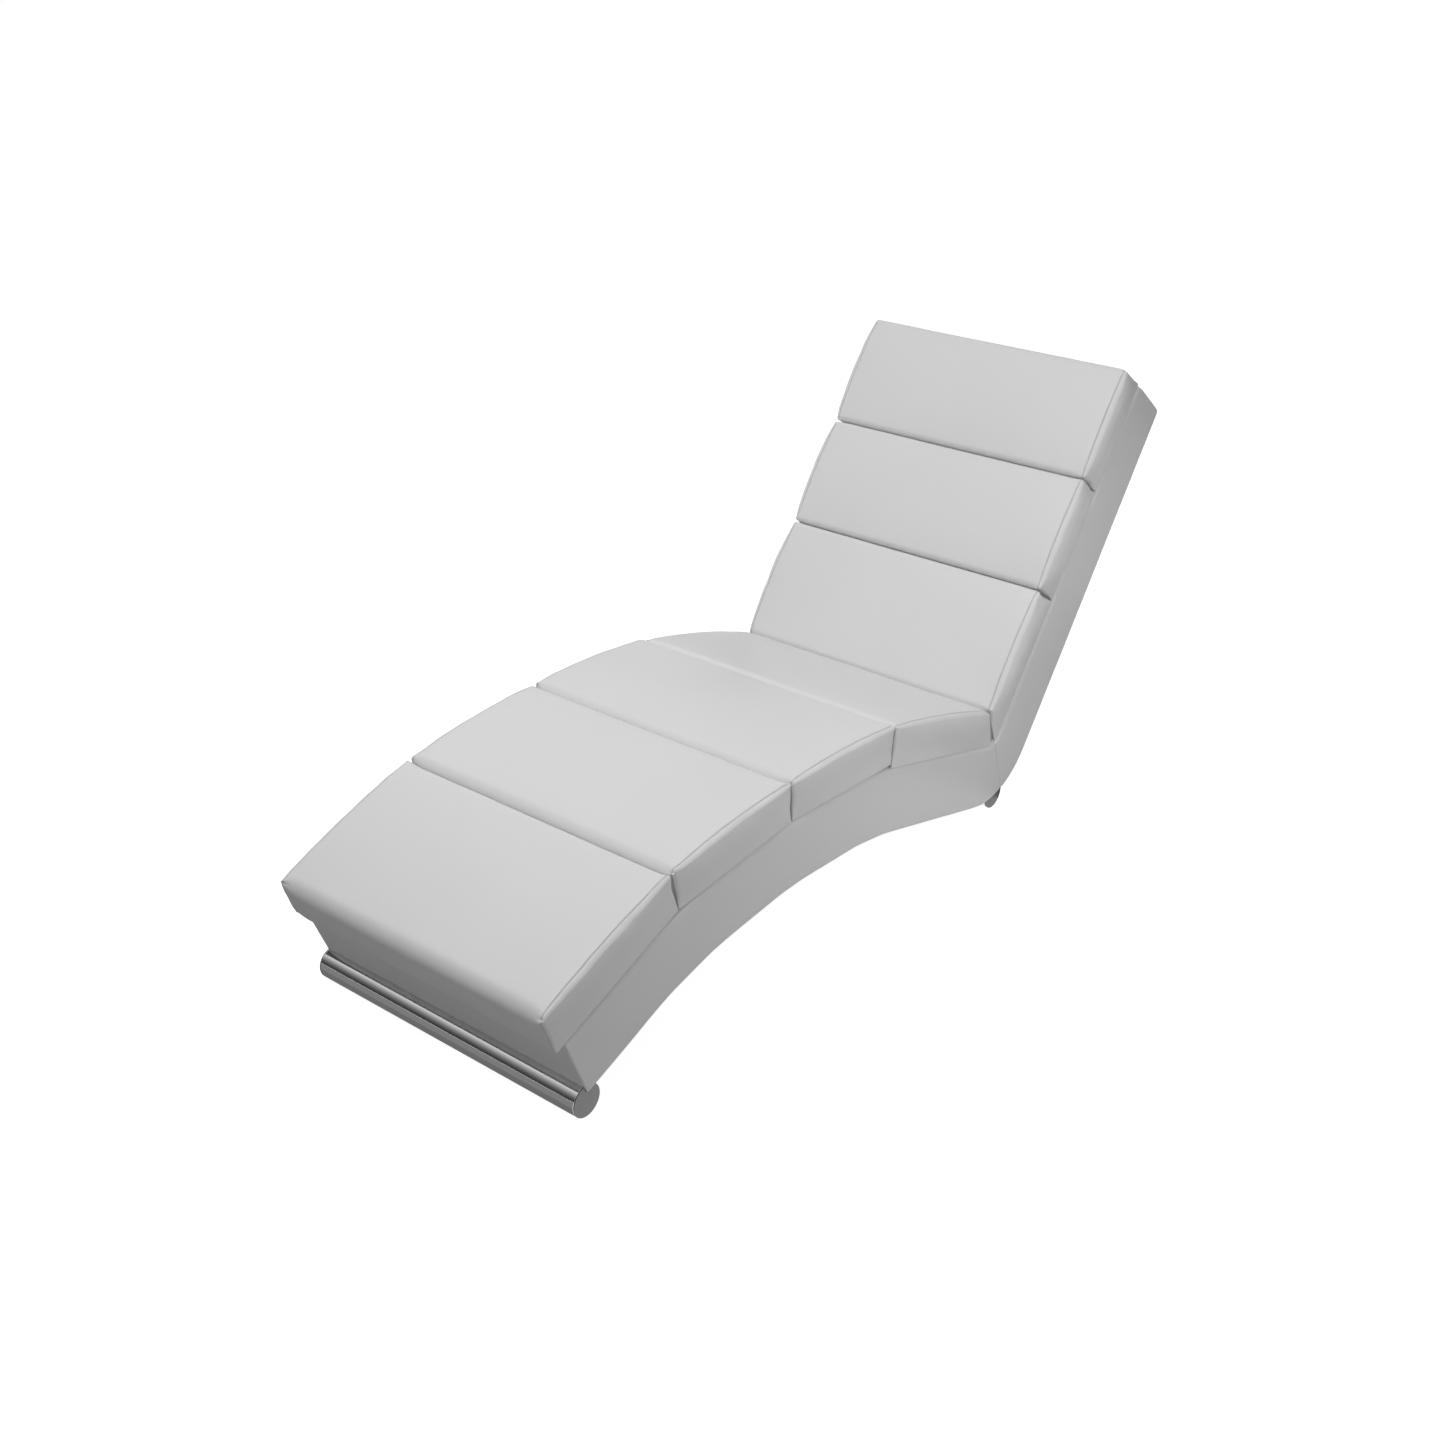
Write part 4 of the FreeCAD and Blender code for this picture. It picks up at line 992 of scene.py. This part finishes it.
class CHAISE_OT_dust_cover(bpy.types.Operator):
    """Make the black cloth stretched under the seat"""
    bl_idname = "chaise.dust_cover"
    bl_label = "Dust cover"

    def execute(self, context):
        sizes = frame_sizes()
        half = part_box("dust_cover")[1][0]
        below = sizes.depth - CLOTH_LIFT
        spots = [-half] + even_stations(-half, half, CLOTH_STEP) + [half]
        section = [on_facet("foot", CLOTH_START, below, x) for x in spots]
        moves = seat_moves()
        kind, slope, length = moves[0]
        first, last = (kind, slope, length - CLOTH_START), ("turn", hip_centre(), CLOTH_TURN)
        moves = [first] + moves[1:-1] + [last]
        bm = bmesh.new()
        layers = sweep(bm, section, moves)
        gentle_underside(bm, layers[0], CLOTH_START)
        face_outwards(bm, Vector((0, 0, -1)))
        for vert in bm.verts:
            vert.co += vert.normal * CLOTH_UNEVENNESS * ripple(vert.co, CLOTH_FOLDS, 31)
        area = sum(face.calc_area() for face in bm.faces)
        piece = finish_piece(bm, "dust_cover_cloth", dust_cloth(), ("dust_cover",),
                             wall=CLOTH_WALL, smooth=0)
        return {"FINISHED"}


# Foot tubes

END_RING = 0.0008
ROUND_PARTS = 128
RIM_ANGLE, RIM_BEVEL = radians(60), 0.0006

# Least and greatest roughness, and how strongly the scratches show
CHROME_FINISH = ((0.05, 0.09), 0.02)
STEEL_FINISH = ((0.42, 0.50), 0.15)
ZINC_FINISH = ((0.28, 0.40), 0.1)


def tube_round(box):
    """Radius and middle of a tube, or of a pair of caps, along the width."""
    middle = Vector((0, (box[0][1] + box[1][1]) / 2, (box[0][2] + box[1][2]) / 2))
    return (box[1][2] - box[0][2]) / 2, middle


def make_tube(name, box):
    """A chromed tube, round and hollow, with a short ring at each end that keeps its shine straight."""
    sizes = frame_sizes()
    radius, centre = tube_round(box)
    bm = bmesh.new()
    bmesh.ops.create_circle(bm, segments=ROUND_PARTS, radius=radius)
    bmesh.ops.rotate(bm, matrix=Matrix.Rotation(pi / 2, 3, "Y"), verts=bm.verts[:])
    bmesh.ops.translate(bm, vec=centre + Vector((box[0][0], 0, 0)), verts=bm.verts[:])
    edges = bm.edges[:]
    for length in (END_RING, box[1][0] - box[0][0] - 2 * END_RING, END_RING):
        made = bmesh.ops.extrude_edge_only(bm, edges=edges)["geom"]
        bmesh.ops.translate(bm, vec=(length, 0, 0), verts=verts_of(made))
        edges = edges_of(made)
    bmesh.ops.recalc_face_normals(bm, faces=bm.faces[:])
    face = bm.faces[:][0]
    if face.normal.dot(face.calc_center_median() - centre) < 0:
        bmesh.ops.reverse_faces(bm, faces=bm.faces[:])
    chrome = metal("polished chrome", colours().chrome, *CHROME_FINISH)
    finish_piece(bm, f"{name}_chrome", chrome, (name,), wall=sizes.tube_wall, smooth=0)


def make_caps(name, box):
    """Flat discs with a turned rim at both ends of a tube."""
    sizes = frame_sizes()
    radius, centre = tube_round(box)
    bm = bmesh.new()
    for side in (-1, 1):
        end = side * box[1][0]
        disc = bmesh.ops.create_cone(bm, cap_ends=True, cap_tris=False, segments=ROUND_PARTS, radius1=radius,
                                     radius2=radius, depth=sizes.cap_flange)
        bmesh.ops.rotate(bm, matrix=Matrix.Rotation(pi / 2, 3, "Y"), verts=disc["verts"])
        bmesh.ops.translate(bm, vec=centre + Vector((end - side * sizes.cap_flange / 2, 0, 0)),
                            verts=disc["verts"])
    rims = [edge for edge in bm.edges if edge.calc_face_angle(0.0) > RIM_ANGLE]
    bmesh.ops.bevel(bm, geom=rims, offset=RIM_BEVEL, segments=3, profile=0.5, affect="EDGES", material=-1)
    bmesh.ops.recalc_face_normals(bm, faces=bm.faces[:])
    steel = metal("brushed steel", colours().steel, *STEEL_FINISH)
    finish_piece(bm, f"{name}_steel", steel, (name,), smooth=0)


class CHAISE_OT_foot_tubes(bpy.types.Operator):
    """Make the two chromed foot tubes and their caps"""
    bl_idname = "chaise.foot_tubes"
    bl_label = "Foot tubes"

    def execute(self, context):
        make_tube("front_tube", FRONT_TUBE)
        make_tube("rear_tube", REAR_TUBE)
        make_caps("front_tube_caps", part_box("front_tube_caps"))
        make_caps("rear_tube_caps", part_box("rear_tube_caps"))
        return {"FINISHED"}


# How the grain is drawn out along each axis, and its contrast
PLYWOOD_GRAIN = ((1.0, 0.12, 1.0), 0.22)
HARDBOARD_GRAIN = ((1.0, 1.0, 1.0), 0.15)


class CHAISE_OT_inner_parts(bpy.types.Operator):
    """Give the frame's boards, rails and fasteners their finishes"""
    bl_idname = "chaise.inner_parts"
    bl_label = "Boards and fasteners"

    def execute(self, context):
        plywood = board("birch plywood", colours().plywood, *PLYWOOD_GRAIN)
        hardboard = board("hardboard", colours().hardboard, *HARDBOARD_GRAIN)
        zinc = metal("zinc plated steel", colours().zinc, *ZINC_FINISH)
        for name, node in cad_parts.items():
            if any(word in name for word in ("bolts", "washers", "nuts", "screws")):
                finish = zinc
            elif name == "back_panel":
                finish = hardboard
            elif any(word in name for word in ("_side_", "rail", "deck", "board")):
                finish = plywood
            else:
                continue
            node.data.materials.clear()
            node.data.materials.append(finish)
        return {"FINISHED"}


# The studio

CAMERA_PLACE = Vector((1.531, -2.035, 1.551))
CAMERA_AZIMUTH = radians(38.62)
CAMERA_ELEVATION = radians(27.75)
CAMERA_LENS = 44.9
SENSOR = 36.0

WHITE = (1, 1, 1, 1)
FLOOR_SIZE, FLOOR_GLOW = 40.0, 0.935
FLOOR_SPECKS, FLOOR_TINT = 3.0, 0.01
WORLD_LIGHT, WORLD_WHITE = 0.19, 1.0

# Name, place, aim, size, power in watts, spread in degrees, and whether the leatherette reflects it
LAMPS = (
    ("overhead", (-0.15, -1.15, 3.1), (0.0, -0.35, 0.3), (2.0, 1.8), 60.0, 180, True),
    ("right", (1.8, 0.20, 0.95), (0.25, 0.22, 0.22), (0.8, 0.8), 2.7, 84, False),
    ("left", (-1.8, 0.20, 0.95), (-0.25, 0.22, 0.22), (0.8, 0.8), 2.3, 100, False),
    ("front", (1.6, -2.4, 0.5), (0.15, -0.75, 0.15), (0.6, 0.5), 2.0, 180, False),
    ("rear", (-0.7, 2.7, 1.5), (0.0, 0.5, 0.4), (1.2, 1.2), 17.0, 180, False),
)


def background_rays(tree):
    """1 for rays that show the plain background: seen directly, in metal or through glass."""
    path = add(tree, "ShaderNodeLightPath")
    shown = math(tree, "MAXIMUM", path.outputs["Is Camera Ray"], path.outputs["Is Glossy Ray"])
    return math(tree, "MAXIMUM", shown, path.outputs["Is Transmission Ray"])


def stage_piece(name, bm, material):
    mesh = bpy.data.meshes.new(name)
    bm.to_mesh(mesh)
    bm.free()
    mesh.materials.append(material)
    piece = bpy.data.objects.new(name, mesh)
    bpy.context.scene.collection.objects.link(piece)
    return piece


def studio_floor():
    material, tree = new_material("studio floor")
    tree.nodes.clear()
    colour = colours().floor
    tint = blend_colours(tree, speckle(tree, own_place(tree), FLOOR_SPECKS), shade(colour, 1 - FLOOR_TINT),
                         shade(colour, 1 + FLOOR_TINT))
    matt = add(tree, "ShaderNodeBsdfDiffuse", {"Color": tint}).outputs[0]
    glow = add(tree, "ShaderNodeEmission", {"Color": WHITE, "Strength": FLOOR_GLOW}).outputs[0]
    white = add(tree, "ShaderNodeAddShader", {0: matt, 1: glow}).outputs[0]
    mixed = add(tree, "ShaderNodeMixShader", {0: background_rays(tree), 1: matt, 2: white}).outputs[0]
    add(tree, "ShaderNodeOutputMaterial", {"Surface": mixed})
    bm = bmesh.new()
    bmesh.ops.create_grid(bm, x_segments=1, y_segments=1, size=FLOOR_SIZE)
    stage_piece("studio_floor", bm, material)


def reflected_card(name, low, high, levels):
    """A plain glowing card that only reflections show, a painted reflection graded along its height or, if
    longer, its depth.
    """
    size = high - low
    axis = 1 if size.y > size.z else 2
    material, tree = new_material(name)
    tree.nodes.clear()
    part = add(tree, "ShaderNodeSeparateXYZ", {"Vector": own_place(tree)}).outputs[axis]
    level = remap(tree, part, low[axis], high[axis], *levels)
    glow = add(tree, "ShaderNodeEmission", {"Color": WHITE, "Strength": level}).outputs[0]
    add(tree, "ShaderNodeOutputMaterial", {"Surface": glow})
    bm = bmesh.new()
    bmesh.ops.create_cube(bm, size=1.0)
    bmesh.ops.scale(bm, vec=size, verts=bm.verts[:])
    bmesh.ops.translate(bm, vec=(low + high) / 2, verts=bm.verts[:])
    card = stage_piece(name, bm, material)
    card.visible_camera = False
    card.visible_diffuse = False
    card.visible_shadow = False
    card.visible_transmission = False


def reflected_cards():
    """Glowing cards round both tubes, seen only in the chrome: painted reflections standing in for a studio's
    dark and bright surfaces.
    """
    front, rear = ((box[0][1] + box[1][1]) / 2 for box in (FRONT_TUBE, REAR_TUBE))
    half = FRONT_TUBE[1][0]
    wide, strip, long_strip = (-5.5, 3.0), (-half - 1.5, half), (-half - 1.5, half + 1.5)
    wall, ceiling, ground = (0.0, 3.3), (2.9, 2.92), (0.002, 0.003)
    for name, tube, across, along, up, levels in (
            ("front_card", front, wide, (-1.90, -1.88), wall, (0.045, 0.75)),
            ("upper_card", front, wide, (-1.50, 0.30), ceiling, (0.10, 0.05)),
            ("front_strip", front, strip, (-0.90, -0.05), ground, (0.32, 0.27)),
            ("rear_card", rear, wide, (1.88, 1.90), wall, (0.045, 0.75)),
            ("rear_strip", rear, long_strip, (0.03, 0.90), ground, (0.27, 0.32)),
            # foot_strip: a dark strip under the front tube, a painted shadow seen only in the chrome
            ("foot_strip", front, strip, (-0.05, 0.05), ground, (0.20, 0.08))):
        low, high = (Vector((across[end], tube + along[end], up[end])) for end in (0, 1))
        reflected_card(name, low, high, levels)


def studio_world():
    world = bpy.data.worlds.new("studio")
    bpy.context.scene.world = world
    world.use_nodes = True
    tree = world.node_tree
    tree.nodes.clear()
    soft, white = (add(tree, "ShaderNodeBackground", {"Color": WHITE, "Strength": strength}).outputs[0]
                   for strength in (WORLD_LIGHT, WORLD_WHITE))
    mixed = add(tree, "ShaderNodeMixShader", {0: background_rays(tree), 1: soft, 2: white}).outputs[0]
    add(tree, "ShaderNodeOutputWorld", {"Surface": mixed})


def soft_lamp(name, place, target, size, power, spread, shine):
    """An area lamp; only one with shine leaves a reflection on the leatherette."""
    lamp = bpy.data.lights.new(name, "AREA")
    lamp.shape = "RECTANGLE"
    lamp.size, lamp.size_y = size
    lamp.energy = power
    lamp.spread = radians(spread)
    item = bpy.data.objects.new(name, lamp)
    item.location = place
    item.rotation_euler = (Vector(target) - Vector(place)).to_track_quat("-Z", "Y").to_euler()
    item.visible_glossy = shine
    bpy.context.scene.collection.objects.link(item)


class CHAISE_OT_stage(bpy.types.Operator):
    """Set the floor, the soft light and the camera"""
    bl_idname = "chaise.stage"
    bl_label = "Stage"

    def execute(self, context):
        scene = context.scene
        scene.view_settings.view_transform = "Standard"
        studio_floor()
        studio_world()
        for lamp in LAMPS:
            soft_lamp(*lamp)
        reflected_cards()
        camera = bpy.data.objects.new("camera", bpy.data.cameras.new("camera"))
        camera.data.lens = CAMERA_LENS
        camera.data.sensor_width = SENSOR
        camera.location = CAMERA_PLACE
        flat = cos(CAMERA_ELEVATION)
        look = -Vector((sin(CAMERA_AZIMUTH) * flat, -cos(CAMERA_AZIMUTH) * flat, sin(CAMERA_ELEVATION)))
        camera.rotation_euler = look.to_track_quat("-Z", "Y").to_euler()
        scene.collection.objects.link(camera)
        scene.camera = camera
        return {"FINISHED"}


class CHAISE_PT_panel(bpy.types.Panel):
    """Lists the steps in the sidebar"""
    bl_label = "Chaise longue"
    bl_idname = "CHAISE_PT_panel"
    bl_space_type = "VIEW_3D"
    bl_region_type = "UI"
    bl_category = "Chaise"

    def draw(self, context):
        for step in STEPS:
            self.layout.operator(step.bl_idname)
        for group in (context.scene.chaise_frame, context.scene.chaise_pads, context.scene.chaise_colours):
            for name in group.__annotations__:
                self.layout.prop(group, name)


STEPS = (CHAISE_OT_stage, CHAISE_OT_inner_parts, CHAISE_OT_seat_covers, CHAISE_OT_back_covers,
         CHAISE_OT_dust_cover, CHAISE_OT_foot_tubes, CHAISE_OT_pads)
CLASSES = (ChaiseFrameSizes, ChaisePadSizes, ChaiseColours) + STEPS + (CHAISE_PT_panel,)


def register():
    for item in CLASSES:
        bpy.utils.register_class(item)
    bpy.types.Scene.chaise_frame = PointerProperty(type=ChaiseFrameSizes)
    bpy.types.Scene.chaise_pads = PointerProperty(type=ChaisePadSizes)
    bpy.types.Scene.chaise_colours = PointerProperty(type=ChaiseColours)


def unregister():
    del bpy.types.Scene.chaise_colours
    del bpy.types.Scene.chaise_pads
    del bpy.types.Scene.chaise_frame
    for item in reversed(CLASSES):
        bpy.utils.unregister_class(item)


def main():
    register()
    bpy.ops.chaise.stage()
    bpy.ops.chaise.inner_parts()
    bpy.ops.chaise.seat_covers()
    bpy.ops.chaise.back_covers()
    bpy.ops.chaise.dust_cover()
    bpy.ops.chaise.foot_tubes()
    bpy.ops.chaise.pads()


if __name__ == "__main__":
    main()
